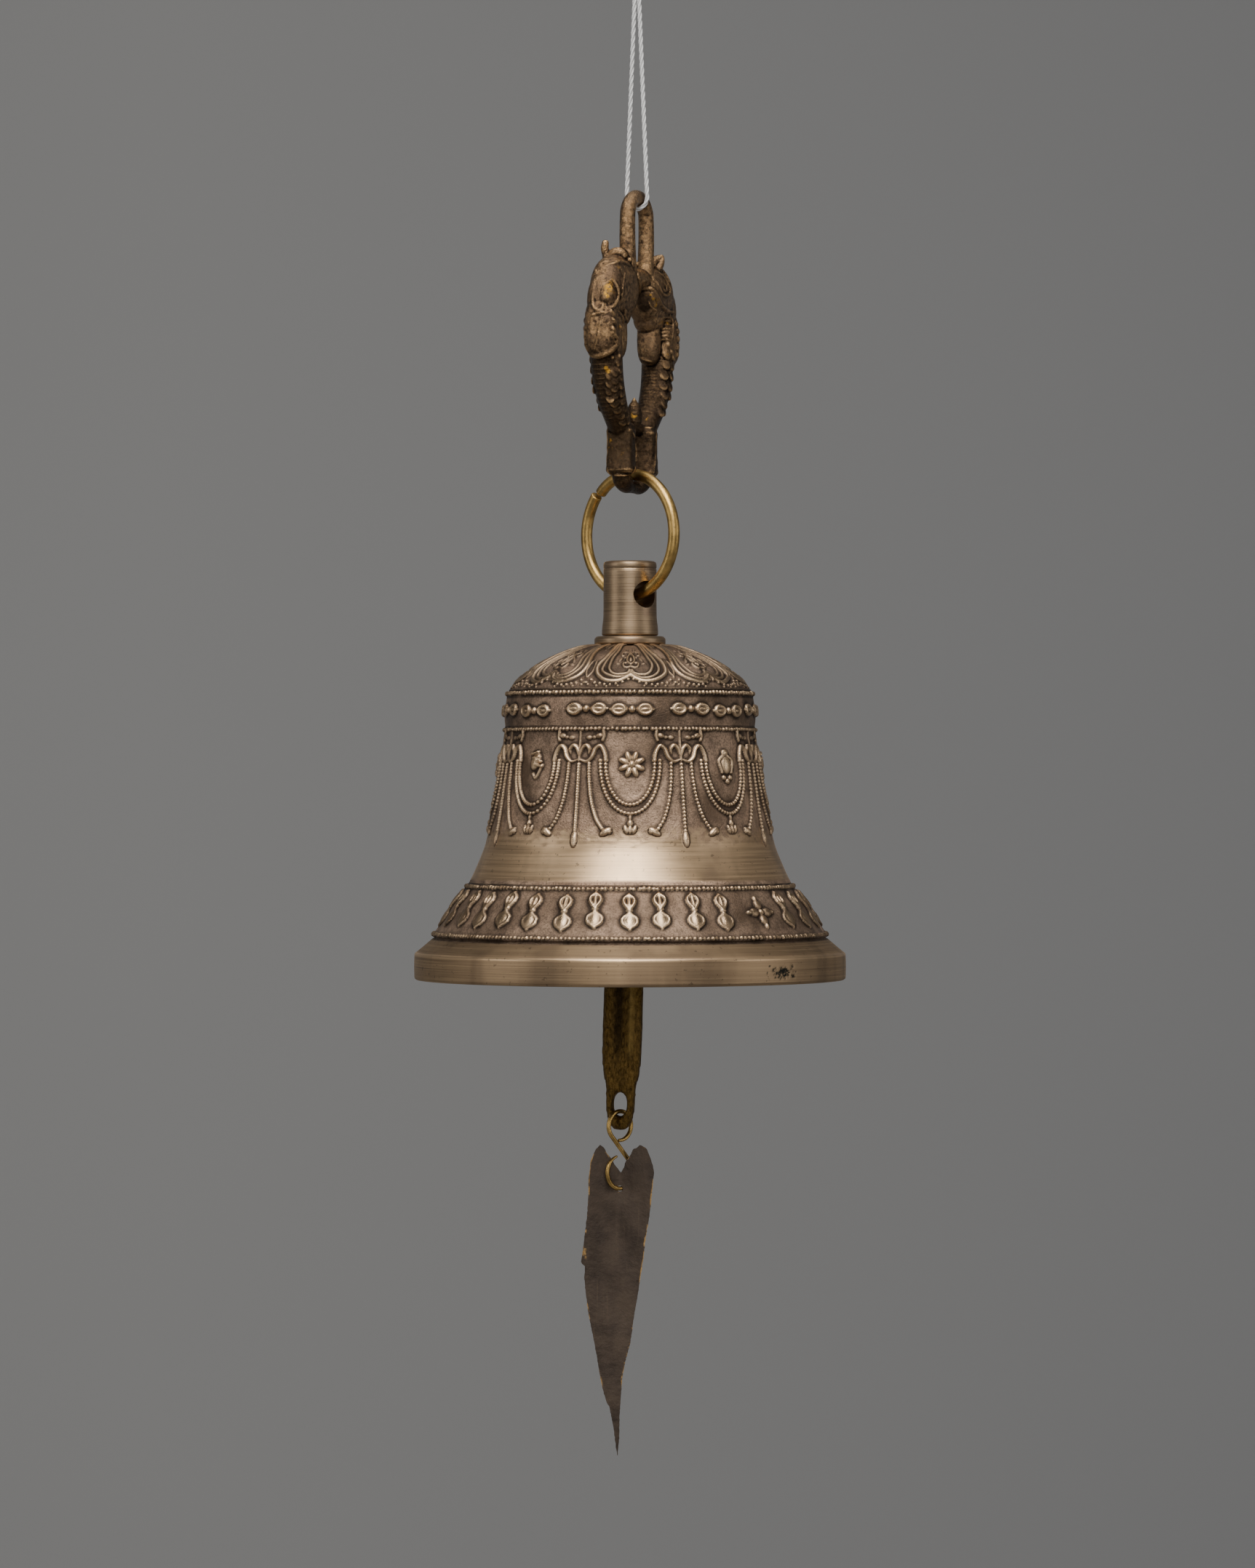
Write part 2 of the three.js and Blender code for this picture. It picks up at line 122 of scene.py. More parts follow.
def blurred(field, passes):
    """A height field smoothed by its neighbours; its columns close on themselves."""
    for _ in range(passes):
        field = (np.roll(field, 1, 1) + 2 * field + np.roll(field, -1, 1)) / 4
        up = np.vstack([field[:1], field[:-1]])
        down = np.vstack([field[1:], field[-1:]])
        field = (up + 2 * field + down) / 4
    return field


def smooth_step(low, high, value):
    t = np.clip((value - low) / (high - low), 0, 1)
    return t * t * (3 - 2 * t)


def make_object(name, points, faces):
    """A smooth-shaded object from points in millimetres about the middle of the lip."""
    mesh = bpy.data.meshes.new(name)
    placed = np.asarray(points, float) * MM + np.array([AXIS, 0, LIP])
    mesh.from_pydata(placed.tolist(), [], faces)
    mesh.polygons.foreach_set("use_smooth", [True] * len(mesh.polygons))
    obj = bpy.data.objects.new(name, mesh)
    bpy.context.scene.collection.objects.link(obj)
    return obj


def add_values(obj, **fields):
    """Per-point numbers that a material reads by name."""
    for name, values in fields.items():
        attribute = obj.data.attributes.new(name, "FLOAT", "POINT")
        attribute.data.foreach_set("value", np.asarray(values, np.float32).ravel())


def belongs(obj, body, material, slot, *nodes):
    """Puts a finished piece on its body, in place of the CAD nodes that it stands for."""
    obj.data.materials.clear()
    obj.data.materials.append(material)
    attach(obj, body)
    if nodes:
        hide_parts(*nodes)
    return obj


def taken_from(shape):
    """The points and faces of a finished bmesh, all its faces looking out."""
    bmesh.ops.recalc_face_normals(shape, faces=shape.faces)
    shape.verts.index_update()
    points = np.array([v.co[:] for v in shape.verts])
    faces = [[v.index for v in f.verts] for f in shape.faces]
    shape.free()
    return points, faces


def apply_modifiers(obj):
    mesh = bpy.data.meshes.new_from_object(obj.evaluated_get(bpy.context.evaluated_depsgraph_get()))
    obj.modifiers.clear()
    obj.data = mesh
    return obj


def bevelled(obj, width, segments, degrees):
    """Rounds the edges that turn by more than the given angle."""
    bevel = obj.modifiers.new("bevel", "BEVEL")
    bevel.width, bevel.segments, bevel.angle_limit = width * MM, segments, math.radians(degrees)
    return apply_modifiers(obj)


def sharpen(obj, degrees=35):
    """Smooth shading that keeps real edges crisp."""
    obj.data.set_sharp_from_angle(angle=math.radians(degrees))
    return obj


def loft(sections, capped=True):
    """Points and faces of a closed skin over rings of equal size."""
    sections = np.asarray(sections, float)
    rings, sides = sections.shape[:2]
    base = np.arange(rings - 1)[:, None] * sides
    j = np.arange(sides)[None, :]
    k = (j + 1) % sides
    faces = np.stack([base + j, base + k, base + sides + k, base + sides + j], -1).reshape(-1, 4).tolist()
    if capped:
        faces.append(list(range(sides))[::-1])
        faces.append(list(range((rings - 1) * sides, rings * sides)))
    return sections.reshape(-1, 3), faces


def frames_along(path):
    """Tangent, side and top directions along a path, turning as little as they can."""
    tangent = np.gradient(path, axis=0)
    tangent /= np.linalg.norm(tangent, axis=1)[:, None]
    first = np.array([0.0, 1.0, 0.0])
    side = first - tangent[0] * (first @ tangent[0])
    sides = []
    for t in tangent:
        side = side - t * (side @ t)
        side /= np.linalg.norm(side)
        sides.append(side)
    sides = np.array(sides)
    return tangent, sides, np.cross(tangent, sides)


def rod(path, radius, sides=20, lobes=0, lobe_depth=0.0, pitch=1.0, rounded=0.0):
    """A rod along a path; its section may have lobes that twist along it, and its ends may be rounded."""
    path = np.asarray(path, float)
    radius = np.broadcast_to(np.asarray(radius, float), len(path)).copy()
    if rounded:
        path, radius = round_ends(path, radius, rounded)
    _, side, top = frames_along(path)
    along = distances(path)
    a = full_turn(sides)
    rings = []
    for centre, u, v, r, s in zip(path, side, top, radius, along):
        shape = r * np.ones(sides)
        if lobes:
            wind = 0.5 * lobes * (a - 2 * math.pi * s / pitch)
            shape *= 1 - lobe_depth * (1 - np.abs(np.cos(wind)))
        rings.append(centre + np.outer(shape * np.cos(a), u) + np.outer(shape * np.sin(a), v))
    return loft(rings)


def round_ends(path, radius, length):
    """Closes both ends of a rod in a small dome of the given length."""
    direction = [path[0] - path[1], path[-1] - path[-2]]
    direction = [d / np.linalg.norm(d) for d in direction]
    steps = np.array([0.5, 0.8, 0.97])
    fall = np.sqrt(1 - steps**2)
    head = path[0] + np.outer(steps[::-1] * length, direction[0])
    tail = path[-1] + np.outer(steps * length, direction[1])
    whole = np.vstack([head, path, tail])
    return whole, np.concatenate([radius[0] * fall[::-1], radius, radius[-1] * fall])


def lathe(profile, columns=COLUMNS):
    """Points and faces of a turned skin, rows down the profile."""
    a = full_turn(columns)
    rings = [np.column_stack([r * np.sin(a), -r * np.cos(a), np.full(columns, z)]) for r, z in profile[::-1]]
    return loft(rings, capped=False)


def joined(*parts):
    """Several (points, faces) as one."""
    points, faces, start = [], [], 0
    for part_points, part_faces in parts:
        points.append(np.asarray(part_points))
        faces += [[i + start for i in face] for face in part_faces]
        start += len(part_points)
    return np.vstack(points), faces


# ---------------------------------------------------------------- camera, floor and light

CAMERA_DISTANCE = 1.45
VIEW_HEIGHT = 0.4363  # height of the view at the bell's axis
CAMERA_ABOVE_LIP = 54.3  # millimetres, as is the next
CAMERA_ASIDE = -0.7
FLOOR_DROP = 1.5  # from the leaf's tip down to the floor
STAGE_HALF_WIDTH = 4.0


def add_camera():
    data = bpy.data.cameras.new("camera")
    data.sensor_width = 36
    data.lens = 36 * CAMERA_DISTANCE / VIEW_HEIGHT
    data.clip_end = 50
    camera = bpy.data.objects.new("camera", data)
    camera.location = (AXIS + CAMERA_ASIDE * MM, -CAMERA_DISTANCE, LIP + CAMERA_ABOVE_LIP * MM)
    camera.rotation_euler = (math.pi / 2, 0, 0)
    bpy.context.scene.collection.objects.link(camera)
    bpy.context.scene.camera = camera


def add_light(name, location, target, size, power, colour=(1, 1, 1)):
    data = bpy.data.lights.new(name, "AREA")
    data.shape = "RECTANGLE"
    data.size, data.size_y = size
    data.energy = power
    data.color = colour
    lamp = bpy.data.objects.new(name, data)
    lamp.location = location
    lamp.visible_camera = False
    lamp.rotation_euler = (Vector(target) - Vector(location)).to_track_quat("-Z", "Y").to_euler()
    bpy.context.scene.collection.objects.link(lamp)


def add_studio():
    """A grey floor that curves up into a plain backdrop, a grey surround and soft lamps."""
    floor_height = CAD_BOX[0][2] - FLOOR_DROP
    sweep = [(-4.0, 0.0), (2.4, 0.0), (3.0, 0.12), (3.3, 0.45), (3.4, 0.85), (3.4, 9.0)]
    line = spline(sweep, count=60)
    rows = [[(x, y, floor_height + z) for x in (-STAGE_HALF_WIDTH, STAGE_HALF_WIDTH)] for y, z in line]
    points = [p for row in rows for p in row]
    faces = [[2 * i, 2 * i + 1, 2 * i + 3, 2 * i + 2] for i in range(len(rows) - 1)]
    mesh = bpy.data.meshes.new("studio_sweep")
    mesh.from_pydata(points, [], faces)
    mesh.polygons.foreach_set("use_smooth", [True] * len(faces))
    stage = bpy.data.objects.new("studio_sweep", mesh)
    bpy.context.scene.collection.objects.link(stage)
    stage.data.materials.append(backdrop_material())
    world = bpy.data.worlds.new("surround")
    world.use_nodes = True
    surround = world.node_tree.nodes["Background"].inputs
    surround["Color"].default_value = (0.19, 0.19, 0.19, 1)
    surround["Strength"].default_value = 0.75
    bpy.context.scene.world = world
    middle = (AXIS, 0, LIP + 0.05)
    add_light("key_soft", (-0.05, -1.25, LIP + 1.75), middle, (1.1, 1.5), 46, (1, 0.985, 0.96))
    add_light("front_fill", (0.05, -2.2, LIP + 0.15), middle, (1.4, 0.9), 6.5)
    add_light("over_soft", (0, 0.1, LIP + 1.9), middle, (0.9, 0.9), 10)
    add_light("left_soft", (-2.0, -0.7, LIP + 0.5), middle, (0.6, 1.6), 5.5)
    add_light("right_soft", (2.0, -0.7, LIP + 0.4), middle, (0.6, 1.6), 5)


# ---------------------------------------------------------------- materials


class Shader:
    """A small helper for building a principled material."""

    def __init__(self, name, **sockets):
        self.material = bpy.data.materials.new(name)
        self.material.use_nodes = True
        self.tree = self.material.node_tree
        self.surface = self.tree.nodes["Principled BSDF"]
        for socket, value in sockets.items():
            self.surface.inputs[socket.replace("_", " ")].default_value = value

    def node(self, kind, links=None, **settings):
        node = self.tree.nodes.new(kind)
        for key, value in settings.items():
            setattr(node, key, value)
        for socket, value in (links or {}).items():
            self.put(node.inputs[socket], value)
        return node

    def put(self, socket, value):
        if isinstance(value, bpy.types.NodeSocket):
            self.tree.links.new(value, socket)
        else:
            socket.default_value = value

    def place(self, scale=(1, 1, 1)):
        where = self.node("ShaderNodeTexCoord").outputs["Object"]
        return self.node("ShaderNodeMapping", {"Vector": where, "Scale": scale}).outputs["Vector"]

    def noise(self, scale, detail=4.0, roughness=0.55, stretch=(1, 1, 1)):
        links = {"Vector": self.place(stretch), "Scale": scale, "Detail": detail, "Roughness": roughness}
        return self.node("ShaderNodeTexNoise", links).outputs["Fac"]

    def value(self, name):
        return self.node("ShaderNodeAttribute", attribute_name=name).outputs["Fac"]

    def math(self, operation, a, b=0.0):
        return self.node("ShaderNodeMath", {0: a, 1: b}, operation=operation).outputs[0]

    def ramp(self, value, low, high, out_low=0.0, out_high=1.0):
        links = {"Value": value, "From Min": low, "From Max": high, "To Min": out_low, "To Max": out_high}
        return self.node("ShaderNodeMapRange", links, clamp=True).outputs["Result"]

    def mix(self, factor, a, b):
        node = self.node("ShaderNodeMix", data_type="RGBA")
        self.put(node.inputs["Factor"], factor)
        self.put(node.inputs[6], a)
        self.put(node.inputs[7], b)
        return node.outputs[2]

    def finish(self, colour, roughness, height=None, distance=0.0001, strength=1.0):
        self.put(self.surface.inputs["Base Color"], colour)
        self.put(self.surface.inputs["Roughness"], roughness)
        if height is not None:
            links = {"Height": height, "Distance": distance, "Strength": strength}
            self.put(self.surface.inputs["Normal"], self.node("ShaderNodeBump", links).outputs["Normal"])
        return self.material


def backdrop_material():
    shader = Shader("backdrop", Specular_IOR_Level=0.1)
    across = shader.node("ShaderNodeSeparateXYZ", {0: shader.place()}).outputs["X"]
    # painted light: the backdrop is lighter on the left and darker on the right, as if lit from the left
    tone = shader.mix(shader.ramp(across, -0.45, 0.65), (0.515, 0.511, 0.505, 1), (0.42, 0.419, 0.421, 1))
    tone = shader.mix(shader.ramp(shader.noise(0.9, 3), 0.3, 0.7, 0, 0.25), tone, (0.47, 0.468, 0.466, 1))
    return shader.finish(tone, 0.95)


def bell_bronze():
    """Cast bronze: dark grainy ground, rubbed relief, turned bands."""
    s = Shader("bell_bronze", Metallic=1.0)
    crest, hollow, polish = s.value("crest"), s.value("hollow"), s.value("polish")
    ground = s.mix(s.ramp(s.noise(60, 5, 0.6), 0.36, 0.62), (0.20, 0.135, 0.09, 1), (0.66, 0.46, 0.32, 1))
    ground = s.mix(s.ramp(s.noise(230, 5, 0.7), 0.48, 0.66, 0, 0.6), ground, (0.13, 0.092, 0.07, 1))
    ground = s.mix(s.ramp(s.noise(34, 3), 0.52, 0.72, 0, 0.45), ground, (0.44, 0.285, 0.195, 1))
    ground = s.mix(s.ramp(s.noise(1900, 3, 0.6), 0.46, 0.62, 0, 0.5), ground, (0.11, 0.078, 0.056, 1))
    ground = s.mix(hollow, ground, (0.05, 0.036, 0.028, 1))
    rubbed = s.mix(s.ramp(s.noise(170, 4), 0.34, 0.66), (0.66, 0.445, 0.265, 1), (0.96, 0.69, 0.425, 1))
    colour = s.mix(crest, ground, rubbed)
    streak = s.noise(1.0, 5, 0.7, (22, 22, 2800))
    lathe_tone = s.mix(s.ramp(streak, 0.30, 0.70), (0.54, 0.365, 0.215, 1), (0.90, 0.635, 0.375, 1))
    # painted reflection: upright darker patches on the turned bands stand in for dark breaks in the lamps'
    # reflection
    patch = s.noise(1.0, 3, 0.5, (75, 75, 12))
    lathe_tone = s.mix(s.ramp(patch, 0.5, 0.66, 0, 0.45), lathe_tone, (0.27, 0.185, 0.12, 1))
    speck = s.ramp(s.noise(820, 2), 0.66, 0.71)
    lathe_tone = s.mix(s.math("MULTIPLY", speck, 0.5), lathe_tone, (0.14, 0.10, 0.07, 1))
    cloud = s.ramp(s.noise(45, 4, 0.6), 0.5, 0.75, 0, 0.35)
    lathe_tone = s.mix(cloud, lathe_tone, (0.36, 0.27, 0.18, 1))
    colour = s.mix(polish, colour, lathe_tone)
    # painted shade: each zone's shade value darkens the colour towards black
    colour = s.mix(s.value("shade"), colour, s.mix(0.93, colour, (0, 0, 0, 1)))
    ragged = s.math("MULTIPLY", s.value("flaw"), s.ramp(s.noise(900, 4, 0.7), 0.36, 0.46))
    colour = s.mix(ragged, colour, (0.03, 0.03, 0.025, 1))
    rough_cast = s.math("SUBTRACT", 0.52, s.math("MULTIPLY", crest, 0.23))
    rough_cast = s.math("ADD", rough_cast, s.ramp(s.noise(240, 3), 0.3, 0.7, -0.06, 0.06))
    rough_lathe = s.ramp(streak, 0.3, 0.7, 0.34, 0.44)
    rough_lathe = s.math("ADD", rough_lathe, s.math("MULTIPLY", s.value("shade"), 0.25))
    blend = s.node("ShaderNodeMix", {"Factor": polish, 2: rough_cast, 3: rough_lathe}).outputs[0]
    grain = s.math("MULTIPLY", s.noise(2600, 4, 0.65), s.ramp(crest, 0, 1, 1.0, 0.35))
    lines = s.math("MULTIPLY", streak, 0.13)
    height = s.node("ShaderNodeMix", {"Factor": polish, 2: grain, 3: lines}).outputs[0]
    return s.finish(colour, blend, height, 0.00025, 0.9)


def turned_bronze():
    """Stem and collar: fine turning marks under a brown film."""
    s = Shader("turned_bronze", Metallic=1.0)
    streak = s.noise(1.0, 6, 0.75, (40, 40, 3800))
    colour = s.mix(s.ramp(streak, 0.35, 0.65), (0.24, 0.165, 0.10, 1), (0.50, 0.36, 0.225, 1))
    colour = s.mix(s.ramp(s.noise(120, 3), 0.5, 0.72, 0, 0.6), colour, (0.24, 0.155, 0.11, 1))
    return s.finish(colour, s.ramp(streak, 0.3, 0.7, 0.35, 0.47), streak, 0.00005, 0.7)


def hanger_bronze():
    """Dark brown casting with rubbed high spots and flecks of gilding."""
    s = Shader("hanger_bronze", Metallic=1.0)
    crest, hollow, gilt = s.value("crest"), s.value("hollow"), s.value("gilt")
    body = s.mix(s.ramp(s.noise(900, 6, 0.75), 0.38, 0.62), (0.085, 0.05, 0.028, 1), (0.52, 0.32, 0.16, 1))
    body = s.mix(s.ramp(s.noise(120, 4), 0.46, 0.66, 0, 0.75), body, (0.075, 0.05, 0.04, 1))
    body = s.mix(s.ramp(s.noise(60, 3), 0.5, 0.7, 0, 0.5), body, (0.50, 0.31, 0.15, 1))
    # near black in the hollows, in the dark spots, which are partly painted shade, and below the heads
    body = s.mix(hollow, body, (0.016, 0.011, 0.009, 1))
    body = s.mix(crest, body, (0.66, 0.41, 0.19, 1))
    fleck = s.ramp(s.noise(330, 4, 0.6), 0.67, 0.73, 0, 0.7)
    gilt = s.math("MULTIPLY", gilt, s.ramp(s.noise(560, 5, 0.75), 0.47, 0.53))
    colour = s.mix(s.math("MAXIMUM", gilt, fleck), body, (0.66, 0.34, 0.045, 1))
    rough = s.ramp(s.noise(500, 4), 0.3, 0.7, 0.20, 0.38)
    return s.finish(colour, rough, s.noise(520, 6, 0.75), 0.0006, 0.9)


def worn_brass():
    """Ring and hook: drawn brass wire with fine scratches and dull spots."""
    s = Shader("worn_brass", Metallic=1.0)
    cloud = s.noise(240, 5)
    colour = s.mix(s.ramp(cloud, 0.35, 0.68), (0.40, 0.255, 0.085, 1), (0.76, 0.50, 0.17, 1))
    colour = s.mix(s.ramp(s.noise(900, 4), 0.6, 0.72, 0, 0.55), colour, (0.22, 0.145, 0.07, 1))
    return s.finish(colour, s.ramp(cloud, 0.3, 0.7, 0.30, 0.43), s.noise(2400, 4, 0.7), 0.00006, 0.8)


def clapper_brass():
    """Forged bar: dark gold with black scale left in its hollows."""
    s = Shader("clapper_brass", Metallic=1.0)
    scale = s.ramp(s.noise(1.0, 6, 0.8, (1500, 1500, 560)), 0.34, 0.66)
    colour = s.mix(scale, (0.28, 0.165, 0.045, 1), (0.032, 0.019, 0.008, 1))
    colour = s.mix(s.ramp(s.noise(70, 4), 0.5, 0.75, 0, 0.5), colour, (0.11, 0.072, 0.03, 1))
    colour = s.mix(s.math("MULTIPLY", s.value("crest"), 0.6), colour, (0.50, 0.33, 0.10, 1))
    colour = s.mix(s.value("hollow"), colour, (0.02, 0.014, 0.01, 1))
    rough = s.ramp(scale, 0, 1, 0.28, 0.55)
    return s.finish(colour, rough, s.noise(1500, 5, 0.7), 0.00030, 0.8)


def leaf_copper():
    """Dark oxidised sheet, scratched bright along its edges."""
    s = Shader("leaf_copper", Metallic=0.85)
    cloud = s.noise(120, 5, 0.6)
    colour = s.mix(s.ramp(cloud, 0.35, 0.65), (0.074, 0.055, 0.043, 1), (0.142, 0.104, 0.077, 1))
    scratch = s.ramp(s.noise(1.0, 5, 0.7, (1500, 1500, 45)), 0.60, 0.74, 0, 0.4)
    colour = s.mix(scratch, colour, (0.21, 0.15, 0.10, 1))
    edge = s.math("MULTIPLY", s.ramp(s.value("crest"), 0.72, 0.92), s.ramp(s.noise(75, 5, 0.7), 0.52, 0.57))
    colour = s.mix(edge, colour, (0.56, 0.34, 0.13, 1))
    return s.finish(colour, s.ramp(cloud, 0.3, 0.7, 0.42, 0.6), s.noise(650, 5, 0.6), 0.00022, 0.6)


def inner_iron():
    """Forged iron parts inside the bell: dull, with a little rust."""
    s = Shader("inner_iron", Metallic=0.9)
    rust = s.ramp(s.noise(400, 5), 0.55, 0.7)
    colour = s.mix(rust, (0.16, 0.15, 0.145, 1), (0.17, 0.075, 0.035, 1))
    return s.finish(colour, s.ramp(rust, 0, 1, 0.45, 0.85), s.noise(1600, 4), 0.0002, 0.8)


def white_cotton():
    s = Shader("white_cotton", Specular_IOR_Level=0.25, Sheen_Weight=0.3)
    fibre = s.noise(3500, 4, 0.7)
    colour = s.mix(s.ramp(fibre, 0.3, 0.7), (0.82, 0.815, 0.80, 1), (0.93, 0.925, 0.915, 1))
    # painted shade in the grooves between the cord's plies
    colour = s.mix(s.value("hollow"), colour, (0.50, 0.49, 0.47, 1))
    return s.finish(colour, 0.9, fibre, 0.00010, 0.9)


# ---------------------------------------------------------------- cord and knot

CORD_RADIUS = 0.58
CORD_SIDES = 24
CORD_PARTING = 0.66  # half the distance between the two strands where they run together
CORD_MEET_HEIGHT = 273
CORD_BEND = 3.13  # radius of the cord's line under the eye
EYE_TOP = 217.4  # centre of the rod at the top of the eye
KNOT_HEIGHT = 284.8
KNOT_HALF_HEIGHT = 3.2
CORD_TURN = -25  # degrees about the upright
CORD_SHIFT = 1.9  # how far the cord and the eye hang to the right of the bell's axis


def cord_route():
    """Down one strand, round under the eye and up the other, as the CAD tube runs."""
    end = KNOT_HEIGHT - KNOT_HALF_HEIGHT - 0.3
    down = [(-CORD_PARTING, end), (-CORD_PARTING, CORD_MEET_HEIGHT), (-CORD_BEND, EYE_TOP)]
    up = [(-x, z) for x, z in reversed(down)]
    line = np.vstack([down, arc((0, EYE_TOP), CORD_BEND, 180, 360), up])
    return turn(upright(line), CORD_TURN) + [CORD_SHIFT, 0, 0]


def twisted(path):
    """A three-ply cord: its section's three lobes wind along it, and the grooves between them are kept for
    painted shade.
    """
    path = spaced(path, 0.22)
    points, faces = rod(path, CORD_RADIUS * 1.06, CORD_SIDES, lobes=3, lobe_depth=0.42, pitch=6.6)
    centre = np.repeat(path, CORD_SIDES, axis=0)
    depth = np.linalg.norm(points - centre, axis=1) / CORD_RADIUS
    return points, faces, 1 - smooth_step(0.66, 0.92, depth)


def add_cord(cotton):
    route = cord_route()
    points, faces, hollow = twisted(route)
    cord = make_object("cord_twisted", points, faces)
    add_values(cord, hollow=hollow)
    belongs(cord, "cord", cotton, "cord", "suspension_cord")
    line = spaced(route, 1.2) * MM + np.array([AXIS, 0, LIP])
    length = float(distances(line)[-1])
    add_knot(cotton)


def add_knot(cotton):
    """An overhand knot in both strands, with two trimmed ends."""
    t = full_turn(90)
    reach, wave = 1.12, 0.62
    loop = np.column_stack([
        (reach + wave * np.cos(3 * t)) * np.cos(2 * t),
        (reach + wave * np.cos(3 * t)) * np.sin(2 * t),
        1.1 * np.sin(3 * t) + 0.9 * np.sin(2 * t + 0.5),
    ])
    tie = np.vstack([loop, loop[:1]]) + [0, 0, KNOT_HEIGHT]
    ends = [[(0.4, 0.2, KNOT_HEIGHT + 1.2), (0.9, -0.1, KNOT_HEIGHT + 2.6), (1.7, -0.5, KNOT_HEIGHT + 4.6)],
            [(-0.5, 0.1, KNOT_HEIGHT + 1.1), (-0.8, 0.4, KNOT_HEIGHT + 2.5), (-1.1, 1.1, KNOT_HEIGHT + 4.9)]]
    parts, hollows = [], []
    for path in [tie] + [spline(end, step=0.3) for end in ends]:
        points, faces, hollow = twisted(path)
        parts.append((points, faces))
        hollows.append(hollow)
    points, faces = joined(*parts)
    knot = make_object("cord_overhand_knot", points + [CORD_SHIFT, 0, 0], faces)
    add_values(knot, hollow=np.concatenate(hollows))
    return belongs(knot, "cord", cotton, "cord", "cord_knot")


# ---------------------------------------------------------------- relief on the bell


class Relief:
    """Height above a turned surface, in rows down its profile and columns round its axis.
    Angles are degrees from the front towards +X."""

    def __init__(self, profile):
        self.r, self.z = np.asarray(profile, float).T
        steps = np.hypot(np.diff(self.r), np.diff(self.z))
        self.s = np.concatenate([[0], np.cumsum(steps)])
        self.h = np.zeros((len(self.r), COLUMNS))

    def down(self, z):
        """Distance down the profile at a height."""
        return float(np.interp(-z, -self.z, self.s))

    def blob(self, angle, s, size, height, tilt=0.0, flat=2.0):
        """One raised oval; size is its half length down the profile and round it, tilt in degrees."""
        long, wide = (size, size) if np.isscalar(size) else size
        reach = max(long, wide)
        rows = np.flatnonzero(np.abs(self.s - s) <= reach)
        if not len(rows):
            return
        r = float(np.interp(s, self.s, self.r))
        centre = angle / 360 * COLUMNS
        half = int(math.ceil(reach / (2 * math.pi * r / COLUMNS))) + 1
        columns = np.arange(int(centre) - half, int(centre) + half + 2)
        across = (columns - centre) / COLUMNS * 2 * math.pi * r
        down = (self.s[rows] - s)[:, None]
        c, n = math.cos(math.radians(tilt)), math.sin(math.radians(tilt))
        d = np.sqrt(((down * c + across * n) / long) ** 2 + ((across * c - down * n) / wide) ** 2)
        bump = height * np.sqrt(np.clip(1 - d**flat, 0, 1))
        columns %= COLUMNS
        window = self.h[np.ix_(rows, columns)]
        self.h[np.ix_(rows, columns)] = np.where(bump > 0, np.maximum(window, bump), window)

    def line(self, points, width, height, taper=None):
        """A raised cord through (angle, s) points; taper gives its width at both ends as shares."""
        path = self.measured(points, 0.22)
        widths = np.full(len(path), float(width))
        if taper:
            widths *= np.interp(np.linspace(0, 1, len(path)), [0, 0.3, 0.7, 1], [taper[0], 1, 1, taper[1]])
        for (angle, s), w in zip(path, widths):
            self.blob(angle, s, w, height * w / width)

    def beads(self, points, pitch, size, height):
        for angle, s in self.measured(points, pitch):
            self.blob(angle, s, size, height)

    def measured(self, points, step):
        """Smooth (angle, s) points through the given ones, evenly spaced on the surface."""
        fine = spline(points, count=160)
        r = np.interp(fine[:, 1], self.s, self.r)
        flat = np.column_stack([np.radians(fine[:, 0]) * r, fine[:, 1]])
        along = distances(flat)
        at = np.linspace(0, along[-1], max(2, int(round(along[-1] / step)) + 1))
        return np.column_stack([np.interp(at, along, column) for column in fine.T])

    def ring(self, z, count, size, height, seed=1):
        """A row of cast beads right round, no two quite alike."""
        random = np.random.default_rng(seed)
        s = self.down(z)
        for k in range(count):
            a = (k + 0.25 * random.normal(0, 0.35)) * 360 / count
            grow = 1 + random.normal(0, 0.08)
            self.blob(a, s + random.normal(0, 0.05), size * grow, height * grow)

    def surface(self, name, shade, polish=None, flaw=None, seed=3):
        """The finished skin, with its crests, its hollows and its painted shade as values for the material."""
        random = np.random.default_rng(seed)
        wander = blurred(random.normal(0, 1, self.h.shape), 24)
        wander /= np.abs(wander).max()
        wander *= np.minimum(1, np.minimum(self.s, self.s[-1] - self.s) / 1.5)[:, None]
        height = self.h + WANDER * wander * (1 if polish is None else 1 - polish)
        near, wide = blurred(self.h, 3), blurred(self.h, 30)
        crest = smooth_step(0.10, 0.42, self.h - 0.45 * near)
        foot, between = smooth_step(0.05, 0.24, near - self.h), smooth_step(0.02, 0.2, wide)
        hollow = np.maximum(foot, 0.9 * between) * (1 - crest)
        slope = np.gradient(self.r), np.gradient(self.z)
        size = np.hypot(*slope)
        out_r, out_z = -slope[1] / size, slope[0] / size
        a = full_turn(COLUMNS)
        r = self.r[:, None] + height * out_r[:, None]
        z = self.z[:, None] + height * out_z[:, None]
        points = np.stack([r * np.sin(a), -r * np.cos(a), z], -1)
        points, faces = loft(points, capped=False)
        obj = make_object(name, points, [face[::-1] for face in faces])
        none = np.zeros_like(self.h)
        add_values(obj, crest=crest, hollow=hollow, polish=none if polish is None else polish,
                   flaw=none if flaw is None else flaw, shade=none + shade)
        return obj


